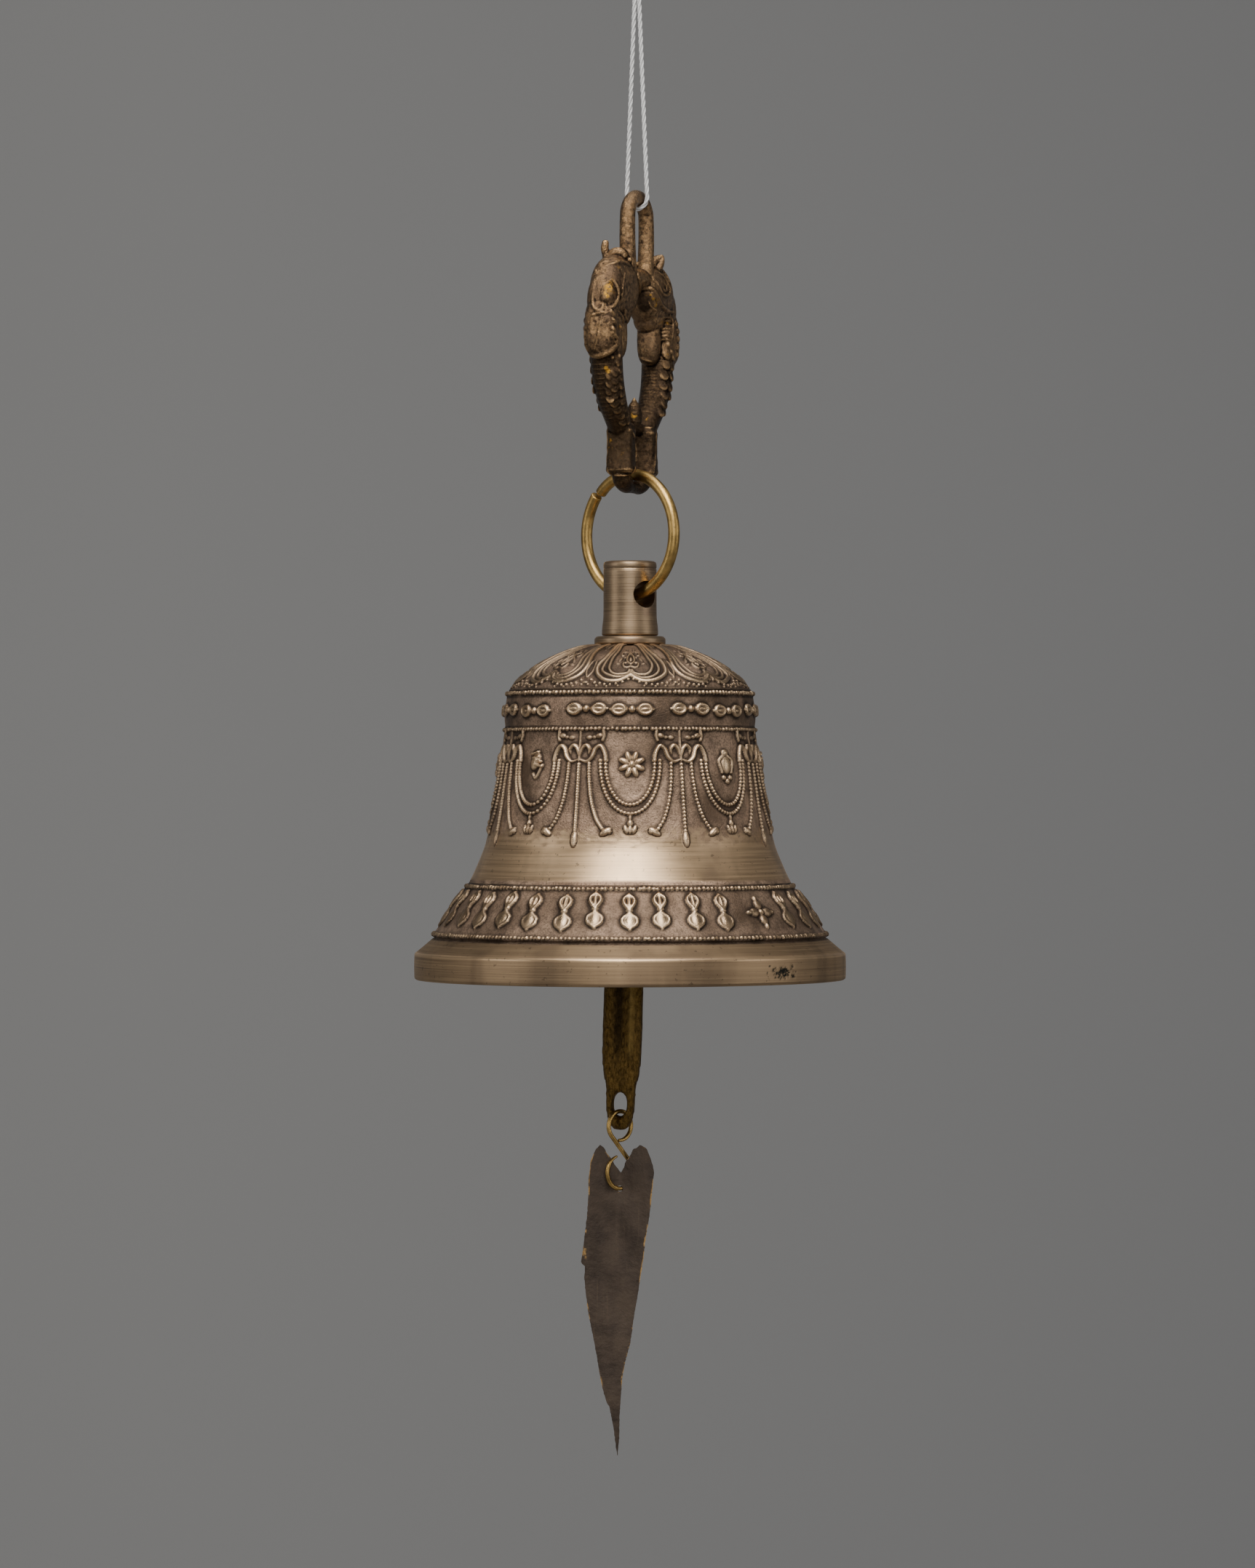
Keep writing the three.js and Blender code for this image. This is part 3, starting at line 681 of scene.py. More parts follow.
DOME = [(9.6, 92.6), (14.5, 92.0), (20.3, 90.0), (24.8, 87.8), (27.7, 85.9), (30.2, 83.8), (32.2, 81.8),
        (33.5, 80.2), (34.2, 79.0), (34.3, 78.0)]
BAND = [(34.3, 78.0), (34.55, 76.6), (34.9, 74.6), (34.9, 72.4), (34.7, 70.4)]
WALL = [(34.7, 70.4), (35.1, 67.0), (35.6, 64.0), (36.3, 60.0), (36.9, 56.0), (37.5, 52.0), (38.1, 48.0),
        (38.8, 44.0), (39.5, 40.5), (40.4, 37.0), (41.7, 33.6), (43.3, 29.9), (44.7, 27.0)]
SKIRT = [(44.7, 27.0), (45.5, 25.8), (47.3, 23.4), (49.0, 21.3), (51.2, 17.8), (53.2, 14.8), (54.5, 12.9),
         (54.9, 12.1), (54.5, 11.75)]
WALL_RADIUS, SKIRT_RADIUS, LIP_RADIUS = 36.4, 50, 60  # at the middle of the ornament, and of the rim


def degrees_round(length, radius):
    """The angle that a length takes up on a circle."""
    return math.degrees(length / radius)


def add_dome(bronze):
    """Eight lotus petals with a bud in each, scrolls between them and a bead row at the edge."""
    relief = Relief(spline(DOME, step=0.2))
    rim = relief.down(82.2)
    bead_row = relief.down(79.3)
    random = np.random.default_rng(17)
    half_petal = [(0, rim - 2.6), (2.6, rim - 1.1), (7, rim - 0.1), (13, rim - 0.6), (18, rim - 3.0),
                  (19.4, rim - 6.5), (17.6, rim - 11), (15.5, rim - 16), (14.5, 2.6), (11.5, 0.8)]
    for k in range(8):
        middle = TILE * k + random.normal(0, 0.4)
        for side in (-1, 1):
            for inset, width, height in ((0, 0.66, 0.66), (0.18, 0.46, 0.5), (0.35, 0.52, 0.5)):
                pulled = [(middle + side * a * (1 - inset) + random.normal(0, 0.3),
                           s - 7.5 * inset * (s / rim) ** 3 + random.normal(0, 0.12)) for a, s in half_petal]
                relief.line(pulled, width, height)
            add_petal_bud(relief, middle, side, rim)
            add_scrolls(relief, middle + side * TILE / 2, side, rim)
    relief.ring(79.3, 172, 0.62, 0.75, seed=11)
    relief.line([(a, bead_row - 1.25) for a in range(0, 361, 5)], 0.3, 0.26)
    # painted shade over the whole dome
    belongs(relief.surface("dome_relief", 0.32, seed=5), "bell", bronze, "cast_bronze", "bell_shell")


def add_petal_bud(relief, middle, side, rim):
    """Half of the plain bud and tendrils that fill a petal."""
    foot = rim - 7.2
    relief.line([(middle, foot), (middle + side * 2.2, foot - 1.6), (middle + side * 2.0, foot - 4),
                 (middle, foot - 6.6)], 0.36, 0.5)
    curl = [(middle + side * a, foot + 0.9 + s)
            for a, s in ((0.4, 0.2), (2.4, 0.7), (4.2, 0), (4.3, -1.4), (2.9, -1.7))]
    relief.line(curl, 0.34, 0.48)
    high_curl = [(middle + side * a, foot + s)
                 for a, s in ((0.6, -6.2), (3.2, -7.4), (5.8, -6.8), (6.2, -5.2), (4.6, -4.8))]
    relief.line(high_curl, 0.3, 0.42)
    relief.blob(middle, foot - 2.6, (1.3, 0.55), 0.55)
    relief.blob(middle + side * 6.4, foot - 2.4, (1.3, 0.5), 0.45, tilt=side * 20)
    relief.blob(middle + side * 7.6, foot - 0.2, (0.5, 0.8), 0.4)
    relief.blob(middle + side * 3.4, foot - 3.9, (0.8, 0.4), 0.4, tilt=side * 35)
    relief.blob(middle + side * 2.6, foot - 9.4, (1.0, 0.4), 0.35)


def add_scrolls(relief, seam, side, rim):
    """Leaves in the corner between two petals, and the tip of the petal behind."""
    leaves = ((0, 0.8, 1.0), (-2.4, -0.2, 0.75), (-4.6, 0.9, 0.85), (-7.2, 1.15, 0.6), (-9.6, 1.5, 0.7),
              (-12.4, 1.6, 0.55), (-15.2, 1.3, 0.65), (-18.4, 0.6, 0.6), (-21.2, -0.4, 0.7))
    for a, s, size in leaves:
        relief.blob(seam + side * a, rim + s - 0.4, (0.5, 0.75 * size), 0.5, tilt=side * 14 * a)
    for a, s in ((-1.4, 1.5), (-5.8, 2.0), (-10.8, 2.2), (-16.2, 2.1)):
        relief.blob(seam + side * a, rim + s - 0.4, 0.42, 0.42)
    relief.line([(seam, rim - 1.6), (seam - side * 1.5, rim - 4.2), (seam - side * 1.1, rim - 8),
                 (seam, rim - 11)], 0.34, 0.42, taper=(1, 0.5))
    relief.line([(seam, 1.2), (seam - side * 2.6, 4.2), (seam, 8.2)], 0.36, 0.4, taper=(1, 0.4))
    relief.line([(seam, 3.0), (seam, 6.6)], 0.3, 0.32)


def add_band(bronze):
    """Fifteen lying vajras, set by hand and not quite evenly."""
    relief = Relief(spline(BAND, step=0.22))
    places = (0.9, 28.4, 50.5, 74, 97, 120.5, 144, 168, 191, 214.5, 238, 262, 288, 311.5, 340)
    for n, place in enumerate(places):
        middle = relief.down(74.6 + 0.25 * math.sin(2.3 * n))
        for side in (-1, 1):
            end = place + side * 5.9
            oval = [(end + 2.75 * math.cos(t), middle + 1.15 * math.sin(t)) for t in np.linspace(0, 6.28, 14)]
            relief.line(oval, 0.55, 0.85)
            relief.blob(end, middle, (1.1, 2.1), 0.5)
            relief.blob(end, middle, (0.5, 1.7), 0.85)
            relief.blob(end + side * 3.4, middle, (0.5, 0.7), 0.6)
            relief.blob(place + side * 2.5, middle, (0.8, 0.45), 0.55)
        relief.blob(place, middle, 0.95, 0.95)
    # painted shade over the whole band
    belongs(relief.surface("band_relief", 0.14, seed=6), "bell", bronze, "cast_bronze")


def add_wall(bronze):
    """Garland of beaded swags hung between brackets, fading into the turned waist."""
    relief = Relief(spline(WALL, step=0.18))
    relief.ring(69.3, 184, 0.56, 0.65, seed=12)
    for k in range(8):
        add_swag(relief, TILE * k)
        add_bracket(relief, TILE * (k + 0.5))
    symbols = (add_rosette, add_vase, add_conch, add_rosette, add_fishes, add_vase, add_rosette, add_conch)
    for k, symbol in enumerate(symbols):
        symbol(relief, TILE * k + 0.7)
    random = np.random.default_rng(8)
    ragged = blurred(random.normal(0, 1, relief.h.shape), 10)
    ragged /= np.abs(ragged).max()
    z = relief.z[:, None]
    polish = smooth_step(43.5, 37.5, z + 4 * ragged) * smooth_step(27.4, 28.6, z)
    polish *= 1 - smooth_step(0.02, 0.1, blurred(relief.h, 2))
    # painted shade, growing towards the top of the wall
    shade = 0.3 * smooth_step(60, 69, z) * np.ones(COLUMNS)
    belongs(relief.surface("wall_relief", shade, polish=polish, seed=7), "bell", bronze, "cast_bronze")


def add_swag(relief, middle):
    at = relief.down
    for half_width, foot in ((10.6, 48.6), (12.9, 46.2)):
        t = np.linspace(0, math.pi, 15)
        curve = [(middle + half_width * math.cos(x), at(60.6 - (60.6 - foot) * math.sin(x))) for x in t]
        relief.beads(curve, 1.0, 0.55, 0.7)
        relief.line(curve, 0.42, 0.34)
    relief.blob(middle, at(45.2), (1.1, 0.5), 0.5)
    relief.blob(middle, at(43.6), (1.0, 0.8), 0.75)
    for side in (-1, 0, 1):
        relief.blob(middle + side * 1.7, at(41.9), (1.35, 0.62), 0.75, tilt=-side * 18)


def add_bracket(relief, middle):
    at = relief.down
    relief.line([(middle, at(68.6)), (middle, at(60.6))], 0.42, 0.45)
    for side in (-1, 1):
        def put(points, width, height, **more):
            relief.line([(middle + side * a, at(z)) for a, z in points], width, height, **more)
        relief.blob(middle + side * 4.2, at(66.9), (0.7, 1.0), 0.55)
        relief.blob(middle + side * 6.6, at(67.0), (0.55, 0.7), 0.5)
        relief.blob(middle + side * 8.8, at(67.4), (0.75, 1.15), 0.65, tilt=side * 12)
        put([(10.6, 68.8), (10.9, 67.4), (10.4, 66.2)], 0.5, 0.6)
        put([(0.2, 62.2), (1.2, 64.0), (3.0, 64.8), (4.5, 63.8), (4.2, 62.4)], 0.56, 0.8, taper=(0.7, 0.35))
        put([(0.2, 61.0), (3.4, 60.4), (5.8, 61.6), (7.4, 64.0), (9.6, 64.6), (11.4, 62.8), (12.1, 60.6)],
            0.6, 0.85, taper=(0.5, 1))
        strand = [(4.7, 59.8), (5.0, 55.5), (6.2, 50.0), (8.6, 45.0), (11.2, 42.2)]
        relief.beads([(middle + side * a, at(z)) for a, z in strand], 1.0, 0.54, 0.7)
        put(strand, 0.4, 0.34)
        relief.blob(middle + side * 12.8, at(41.3), (1.9, 0.95), 0.9, tilt=-side * 58)
        relief.blob(middle + side * 14.4, at(41.3), (0.75, 0.6), 0.7, tilt=-side * 20)
    plumb = [(middle, at(59.6)), (middle, at(41.6))]
    relief.beads(plumb, 1.0, 0.54, 0.7)
    relief.line(plumb, 0.4, 0.34)
    relief.blob(middle, at(39.4), (2.5, 1.0), 0.8, flat=1.4)


def add_rosette(relief, middle):
    heart = relief.down(59.6)
    for k in range(8):
        a = math.radians(22.5 + 45 * k)
        relief.blob(middle + degrees_round(2.3 * math.sin(a), WALL_RADIUS), heart - 2.3 * math.cos(a),
                    (1.55, 0.8), 0.85, tilt=math.degrees(-a))
    relief.blob(middle, heart, 0.95, 1.0)


def add_vase(relief, middle):
    at = relief.down
    relief.blob(middle, at(59.5), (2.6, 1.8), 0.9)
    relief.blob(middle, at(62.8), (1.0, 1.3), 0.8)
    for side in (-1, 1):
        handle = [(middle + side * a, at(z)) for a, z in ((1.2, 62), (4.0, 60.5), (2.8, 57.5))]
        relief.line(handle, 0.5, 0.6)
        relief.blob(middle + side * 1.9, at(56.0), 0.75, 0.7)
    relief.blob(middle, at(55.0), 0.8, 0.75)


def add_conch(relief, middle):
    at = relief.down
    relief.blob(middle - 0.6, at(60.4), (2.6, 1.7), 0.9, tilt=-25)
    for n in range(4):
        relief.line([(middle - 3.2 + n, at(62.4 - n)), (middle + 0.4 + n, at(63.0 - 1.3 * n))], 0.42, 0.95)
    relief.line([(middle - 1.6, at(57.0)), (middle + 0.4, at(56.0)), (middle + 3.4, at(59.4))], 0.5, 0.55)


def add_fishes(relief, middle):
    at = relief.down
    for side in (-1, 1):
        fish = [(middle + side * a, at(z)) for a, z in ((3.0, 63), (2.4, 60), (-0.6, 57), (-2.6, 55.6))]
        relief.line(fish, 0.85, 0.8, taper=(1, 0.5))
        relief.blob(middle + side * 3.0, at(63.4), (0.9, 1.0), 0.8)


def add_skirt(bronze):
    """Standing vajras between two bead rows, with one crossed vajra."""
    relief = Relief(spline(SKIRT, step=0.22))
    relief.ring(25.9, 222, 0.64, 0.7, seed=14)
    relief.ring(12.75, 270, 0.6, 0.6, seed=15)
    random = np.random.default_rng(21)
    for k in range(33):
        place = 30.6 - 10.4 * k + random.normal(0, 0.25)
        add_standing_vajra(relief, place, random.normal(0, 0.25), random.normal(0, 2.2))
    add_crossed_vajra(relief, 44.8)
    # painted shade over the whole skirt
    belongs(relief.surface("skirt_relief", 0.36, seed=9), "bell", bronze, "cast_bronze")


def add_standing_vajra(relief, place, shift, lean):
    top = relief.down(24.9) + shift
    foot = top + 12.2
    slope = degrees_round(math.tan(math.radians(lean)), SKIRT_RADIUS)

    def spot(across, share):
        s = top + (foot - top) * share
        return place + degrees_round(across, SKIRT_RADIUS) + (s - top) * slope, s

    relief.line([spot(0, 0), spot(0, 0.12)], 0.45, 0.6, taper=(0.5, 1))
    relief.line([spot(0, 0.10), spot(0, 0.42)], 0.5, 0.75)
    for side in (-1, 1):
        relief.line([spot(0, 0.06), spot(side * 1.35, 0.16), spot(side * 1.45, 0.28), spot(side * 0.4, 0.42)],
                    0.55, 0.8)
        relief.line([spot(side * 0.5, 0.58), spot(side * 1.9, 0.68), spot(side * 1.75, 0.82), spot(0, 0.95)],
                    0.48, 0.62)
    a, s = spot(0, 0.47)
    relief.blob(a, s, (0.75, 1.05), 0.8)
    a, s = spot(0, 0.55)
    relief.blob(a, s, (0.55, 0.85), 0.7)
    a, s = spot(0, 0.74)
    relief.blob(a, s, (3.0, 1.75), 0.85, flat=1.6)
    relief.line([spot(0, 0.9), spot(0, 1.0)], 0.5, 0.6, taper=(1, 0.5))


def add_crossed_vajra(relief, place):
    heart = relief.down(19.4)
    relief.blob(place, heart, 0.95, 0.9)
    for k in range(4):
        a = math.radians(90 * k)
        for reach, size in ((2.4, (1.6, 1.35)), (4.3, (1.1, 0.6))):
            aside = degrees_round(reach * math.sin(a), SKIRT_RADIUS)
            relief.blob(place + aside, heart - reach * math.cos(a), size, 0.75, tilt=math.degrees(-a))


FLAW_PLACE, FLAW_HEIGHT, FLAW_DEPTH = 44, 3.4, 0.16  # degrees to the right, height above the lip


def add_rim(bronze):
    """Sloping shoulder, turned rim with its casting flaw, lip and the inside of the bell."""
    outline = [(54.5, 11.75), (54.5, 11.45), (55.0, 11.3)]
    shoulder = spline([(55.0, 11.3), (57.2, 9.4), (59.2, 7.75)], step=0.7)
    edge = [(59.55, 7.55), (59.8, 7.3), (59.9, 7.0)]
    face = spline([(59.9, 7.0), (60.0, 4.0), (59.95, 0.8)], step=0.45)
    lip = [(59.85, 0.35), (59.5, 0.05), (59.0, 0.0), (55.5, 0.0), (52.2, 0.0), (51.6, 0.15), (51.3, 0.6)]
    inside = spline([(51.3, 0.6), (50.8, 3), (49.4, 8), (47.4, 14), (44.1, 21.5), (40.4, 30), (37, 40),
                     (35, 50), (33.5, 60), (32, 70), (30.9, 77), (28.2, 82), (23, 85.6), (14, 88.6),
                     (8, 89.4), (3.4, 89.5)], step=2.2)
    relief = Relief(np.vstack([outline, shoulder[1:], edge, face[1:], lip, inside[1:]]))
    on_face = relief.r >= 59.5
    flaw_row = relief.s[np.argmin(np.abs(relief.z - FLAW_HEIGHT) + 50 * ~on_face)]
    flaw = Relief(np.column_stack([relief.r, relief.z]))
    random = np.random.default_rng(31)
    for _ in range(75):
        across, down = random.normal(0, 2.3), random.normal(0, 0.8)
        size = random.uniform(0.18, 0.6)
        flaw.blob(FLAW_PLACE + degrees_round(across + 0.5 * down, LIP_RADIUS), flaw_row + down, size, 1.0)
    relief.h -= FLAW_DEPTH * blurred(flaw.h, 1)
    turned = ((relief.r > 51.2) | (relief.z > 7)).astype(float)[:, None] * np.ones(COLUMNS)
    turned[:3] = 0
    # painted shade: 0.42 on the rim's face, the lip and the lowest inside, 0.72 on the shoulder and the rest of
    # the inside; none along the top edge of the rim, which reads as a bright line
    shade = np.interp(relief.z, [6.9, 7.0, 7.6, 7.8], [0.42, 0.0, 0.0, 0.72])[:, None]
    obj = relief.surface("rim_and_inside", shade, polish=turned, flaw=smooth_step(0.35, 0.8, flaw.h), seed=10)
    belongs(obj, "bell", bronze, "cast_bronze")


# ---------------------------------------------------------------- turned and forged pieces

STEM_HOLE = (3.76, 106.9, -52)  # radius, height and turn of the stem's cross hole
RING = (16.85, 1.6, 123.6, -44)  # radius, wire radius, height of the centre, turn


def add_stem(bronze):
    """Post with its cross hole, shank and foot."""
    post = [(0, 83.2), (2.6, 83.2), (3.0, 83.6), (3.0, 95.6), (7.6, 95.6), (7.85, 95.9), (7.82, 97.0)]
    post += [tuple(p) for p in spline([(7.7, 98.4), (7.45, 100.5), (7.39, 103.5)], count=6)]
    post += [(7.39, 108), (7.39, 112.9), (7.39, 113.9), (7.28, 114.05), (7.28, 114.3), (7.39, 114.45),
             (7.39, 115.3), (7.2, 115.9), (6.75, 116.2), (6.1, 116.3), (0, 116.3)]
    stem = make_object("stem_post", *welded(lathe(post, 128)))
    radius, height, degrees = STEM_HOLE
    path = turn(upright([(-12, height), (12, height)]), degrees)
    cutter = make_object("stem_bore", *rod(path, radius, 64))
    cut = stem.modifiers.new("bore", "BOOLEAN")
    cut.object, cut.operation, cut.solver = cutter, "DIFFERENCE", "EXACT"
    apply_modifiers(stem)
    bpy.data.objects.remove(cutter)
    belongs(sharpen(bevelled(stem, 0.28, 3, 38), 40), "bell", bronze, "turned_bronze", "bell_stem")


def welded(part):
    """The same skin with its coincident points made one and its slivers gone."""
    shape = bmesh.new()
    corners = [shape.verts.new(p) for p in part[0]]
    for face in part[1]:
        shape.faces.new([corners[i] for i in face])
    bmesh.ops.remove_doubles(shape, verts=shape.verts, dist=0.0005)
    return taken_from(shape)


def add_collar(bronze):
    profile = [(3.3, 92.9), (9.3, 92.9), (9.75, 93.05), (9.9, 93.4), (9.9, 94.5), (9.8, 94.8), (9.55, 95.0),
               (9.4, 95.25), (9.0, 95.35), (3.3, 95.35), (3.3, 92.9)]
    collar = make_object("stepped_collar", *welded(lathe(profile, 160)))
    belongs(sharpen(collar, 50), "bell", bronze, "turned_bronze", "crown_collar")


def add_ring(brass):
    """Split ring: its cut ends stand a little apart and out of line."""
    radius, wire, height, degrees = RING
    gap = math.degrees(1.0 / radius)
    a = np.radians(np.linspace(136 + gap / 2, 496 - gap / 2, 220))
    stray = 0.45 * (np.abs(np.linspace(-1, 1, 220)) ** 9) * np.sign(np.linspace(-1, 1, 220))
    path = np.column_stack([radius * np.cos(a), stray, height + radius * np.sin(a)])
    random = np.random.default_rng(17)
    wobble = np.convolve(random.normal(0, 0.02, 236), np.ones(17) / 17, "valid")
    ring = make_object("split_ring_wire", *rod(turn(path, degrees), wire + wobble, 28))
    belongs(sharpen(bevelled(ring, 0.22, 2, 60), 50), "ring", brass, "ring_brass", "split_ring")


def add_inner_parts(iron):
    """Washer, staple and link, under the crown."""
    washer = [(3.3, 87.9), (7.6, 87.9), (8.0, 88.2), (8.0, 88.8), (7.7, 89.1), (3.3, 89.1), (3.3, 87.9)]
    obj = make_object("crown_washer", *welded(lathe(washer, 64)))
    belongs(sharpen(obj), "bell", iron, "inner_iron", "stem_washer")
    boss = [(0, 80.7), (3.2, 80.7), (4.6, 81.2), (5.4, 82.2), (5.6, 83.4), (5.6, 86.8), (5.2, 87.5),
            (3.35, 87.6), (3.35, 82.7), (0, 82.7)]
    eye = turn(upright(arc((0, 77.2), 3.6, 90, 450, 48)), -27)
    parts = joined(welded(lathe(boss, 48)), rod(eye, 1.2, 16))
    obj = make_object("staple_eye_nut", *parts)
    belongs(sharpen(obj), "bell", iron, "inner_iron", "clapper_staple")
    top, bottom, bend = 76.0 - 3.5 - 0.02, 60.0 + 3.5 + 0.02, 3.5
    loop = np.vstack([arc((0, top), bend, 0, 180), arc((0, bottom), bend, 180, 360), [[bend, top - 4]]])
    obj = make_object("forged_link", *rod(turn(upright(loop), 63), 0.88, 14))
    belongs(obj, "link", iron, "inner_iron", "clapper_link")


# ---------------------------------------------------------------- clapper, hook and leaf

CLAPPER_PIVOT = 60.0
CLAPPER_LEAN = 1.6
CLAPPER_TURN = -27
HOOK_TURN = 40
HOOK_WIRE = 0.6
HOOK_UPPER = (4.05, -40.8)
HOOK_LOWER = (4.55, -53.7)
HOOK_SHIFT = -(CLAPPER_PIVOT + 40.8) * math.tan(math.radians(CLAPPER_LEAN))


def plate_grid(outline, holes, step):
    """A flat triangulated sheet inside an [x, z] outline, with even points inside for shaping."""
    outline = np.asarray(outline, float)
    shape = bmesh.new()
    edges = []
    for loop in [outline] + holes:
        ring = [shape.verts.new((x, 0, z)) for x, z in loop]
        edges += [shape.edges.new((a, b)) for a, b in zip(ring, ring[1:] + ring[:1])]
    bmesh.ops.triangle_fill(shape, edges=edges, use_beauty=True)
    for axis, span in ((0, outline[:, 0]), (2, outline[:, 1])):
        normal = [0, 0, 0]
        normal[axis] = 1
        for place in np.arange(span.min() + step / 2, span.max(), step):
            spot = [0, 0, 0]
            spot[axis] = place
            everything = shape.verts[:] + shape.edges[:] + shape.faces[:]
            bmesh.ops.bisect_plane(shape, geom=everything, plane_co=spot, plane_no=normal)
    return taken_from(shape)


def edge_distance(points, loops):
    """Each point's distance to the nearest outline."""
    best = np.full(len(points), 1e9)
    flat = points[:, [0, 2]]
    for loop in loops:
        for a, b in zip(loop, np.roll(loop, -1, axis=0)):
            ab = b - a
            t = np.clip(((flat - a) @ ab) / max(ab @ ab, 1e-12), 0, 1)
            best = np.minimum(best, np.linalg.norm(flat - a - t[:, None] * ab, axis=1))
    return best


def thick_sheet(points, faces, front, back):
    """A closed skin between two offsets of a sheet along Y."""
    count = len(points)
    both = np.vstack([points + np.outer(front, [0, 1, 0]), points + np.outer(back, [0, 1, 0])])
    uses = {}
    for face in faces:
        for a, b in zip(face, face[1:] + face[:1]):
            uses[(a, b)] = uses.get((a, b), 0) + 1
    rim = [(a, b) for a, b in uses if (b, a) not in uses]
    walls = [[b, a, a + count, b + count] for a, b in rim]
    rear = [[i + count for i in face[::-1]] for face in faces]
    skin = faces + rear + walls
    corners = both[np.array([face[:3] for face in skin])]
    spans = np.cross(corners[:, 1] - corners[:, 0], corners[:, 2] - corners[:, 0])
    inside_out = np.einsum("ij,ij->", spans, corners[:, 0]) < 0
    return both, [face[::-1] for face in skin] if inside_out else skin


def add_clapper(brass):
    """Forged bar: fullered groove down each face, thumbed edges and a punched eye at each end."""
    def below(z):
        return z - CLAPPER_PIVOT
    head = [(0.0, 5.0), (2.6, 4.9), (4.6, 3.6), (5.2, 0.5)]
    blade = [(5.4, 20), (5.9, -8), (5.85, -20), (5.4, -26.4), (4.7, -28.6), (4.3, -32), (4.15, -36),
             (3.5, -39.6), (1.9, -41.6), (0.2, -42)]
    right = spline(head + [(x, below(z)) for x, z in blade], step=1.1)
    random = np.random.default_rng(41)
    right[2:-2, 0] += random.normal(0, 0.04, len(right) - 4)
    left = right[1:-1][::-1] * [-1, 1]
    left[:, 0] += random.normal(0, 0.04, len(left))
    upper_eye = arc((0, -1), 2.8, 0, 345)
    lower_eye = arc((0, 0), 1, 0, 345) * [2.35, 3.3] + [0, below(-34.8)]
    loops = [np.vstack([right, left]), upper_eye, lower_eye]
    points, faces = plate_grid(loops[0], [upper_eye, lower_eye], 0.8)
    reach = edge_distance(points, loops)
    x, z = points[:, 0], points[:, 2]
    groove = 0.6 * np.exp(-((x + 1.0) / 1.9) ** 2) * smooth_step(below(-30), below(-14), z)
    ridge = 0.35 * np.exp(-((x - 3.4) / 0.9) ** 2) * smooth_step(below(-28), below(-16), z)
    lumps = 0.12 * np.sin(1.9 * z + 2 * np.sin(1.3 * x)) + 0.10 * np.sin(0.73 * z + x)
    thickness = 1.5 * np.sqrt(np.clip(0.25 + 0.75 * smooth_step(0, 1.3, reach), 0, 1)) - groove + ridge
    thickness = np.maximum(thickness + lumps * smooth_step(0, 1.5, reach), 0.35)
    skin, faces = thick_sheet(points, faces, -thickness, thickness)
    clapper = make_object("clapper_bar", hung_clapper(skin), faces)
    add_values(clapper, hollow=np.tile(0.75 * smooth_step(0.1, 0.6, groove), 2),
               crest=np.tile(smooth_step(0.1, 0.35, ridge), 2))
    smooth = clapper.modifiers.new("soften", "SUBSURF")
    smooth.levels = smooth.render_levels = 1
    apply_modifiers(clapper)
    belongs(clapper, "clapper", brass, "dark_brass", "clapper")


def hung_clapper(points):
    """Points drawn about the clapper's pivot, turned and leant as it hangs."""
    c, s = math.cos(math.radians(CLAPPER_LEAN)), math.sin(math.radians(CLAPPER_LEAN))
    leaned = turn(points, CLAPPER_TURN) @ np.array([[c, 0, -s], [0, 1, 0], [s, 0, c]])
    return leaned + [0, 0, CLAPPER_PIVOT]


def add_hook(brass):
    """Open S of brass wire, thinned at its tips."""
    (upper_r, upper_z), (lower_r, lower_z) = HOOK_UPPER, HOOK_LOWER
    tilt = math.degrees(math.asin((upper_r + lower_r) / (upper_z - lower_z)))
    upper = arc((0, upper_z), upper_r, -95, 180 + tilt, 60)
    lower = arc((0, lower_z), lower_r, tilt, -255, 60)
    path = spaced(np.vstack([upper, lower]), 0.3)
    share = np.linspace(0, 1, len(path))
    radius = HOOK_WIRE * np.interp(share, [0, 0.05, 0.5, 0.93, 1], [0.8, 1, 1.05, 1, 0.55])
    points, faces = rod(upright(path), radius, 18, rounded=0.3)
    hook = make_object("s_hook_wire", turn(points, HOOK_TURN) + [HOOK_SHIFT, 0, 0], faces)
    belongs(hook, "hook", brass, "ring_brass", "s_hook")


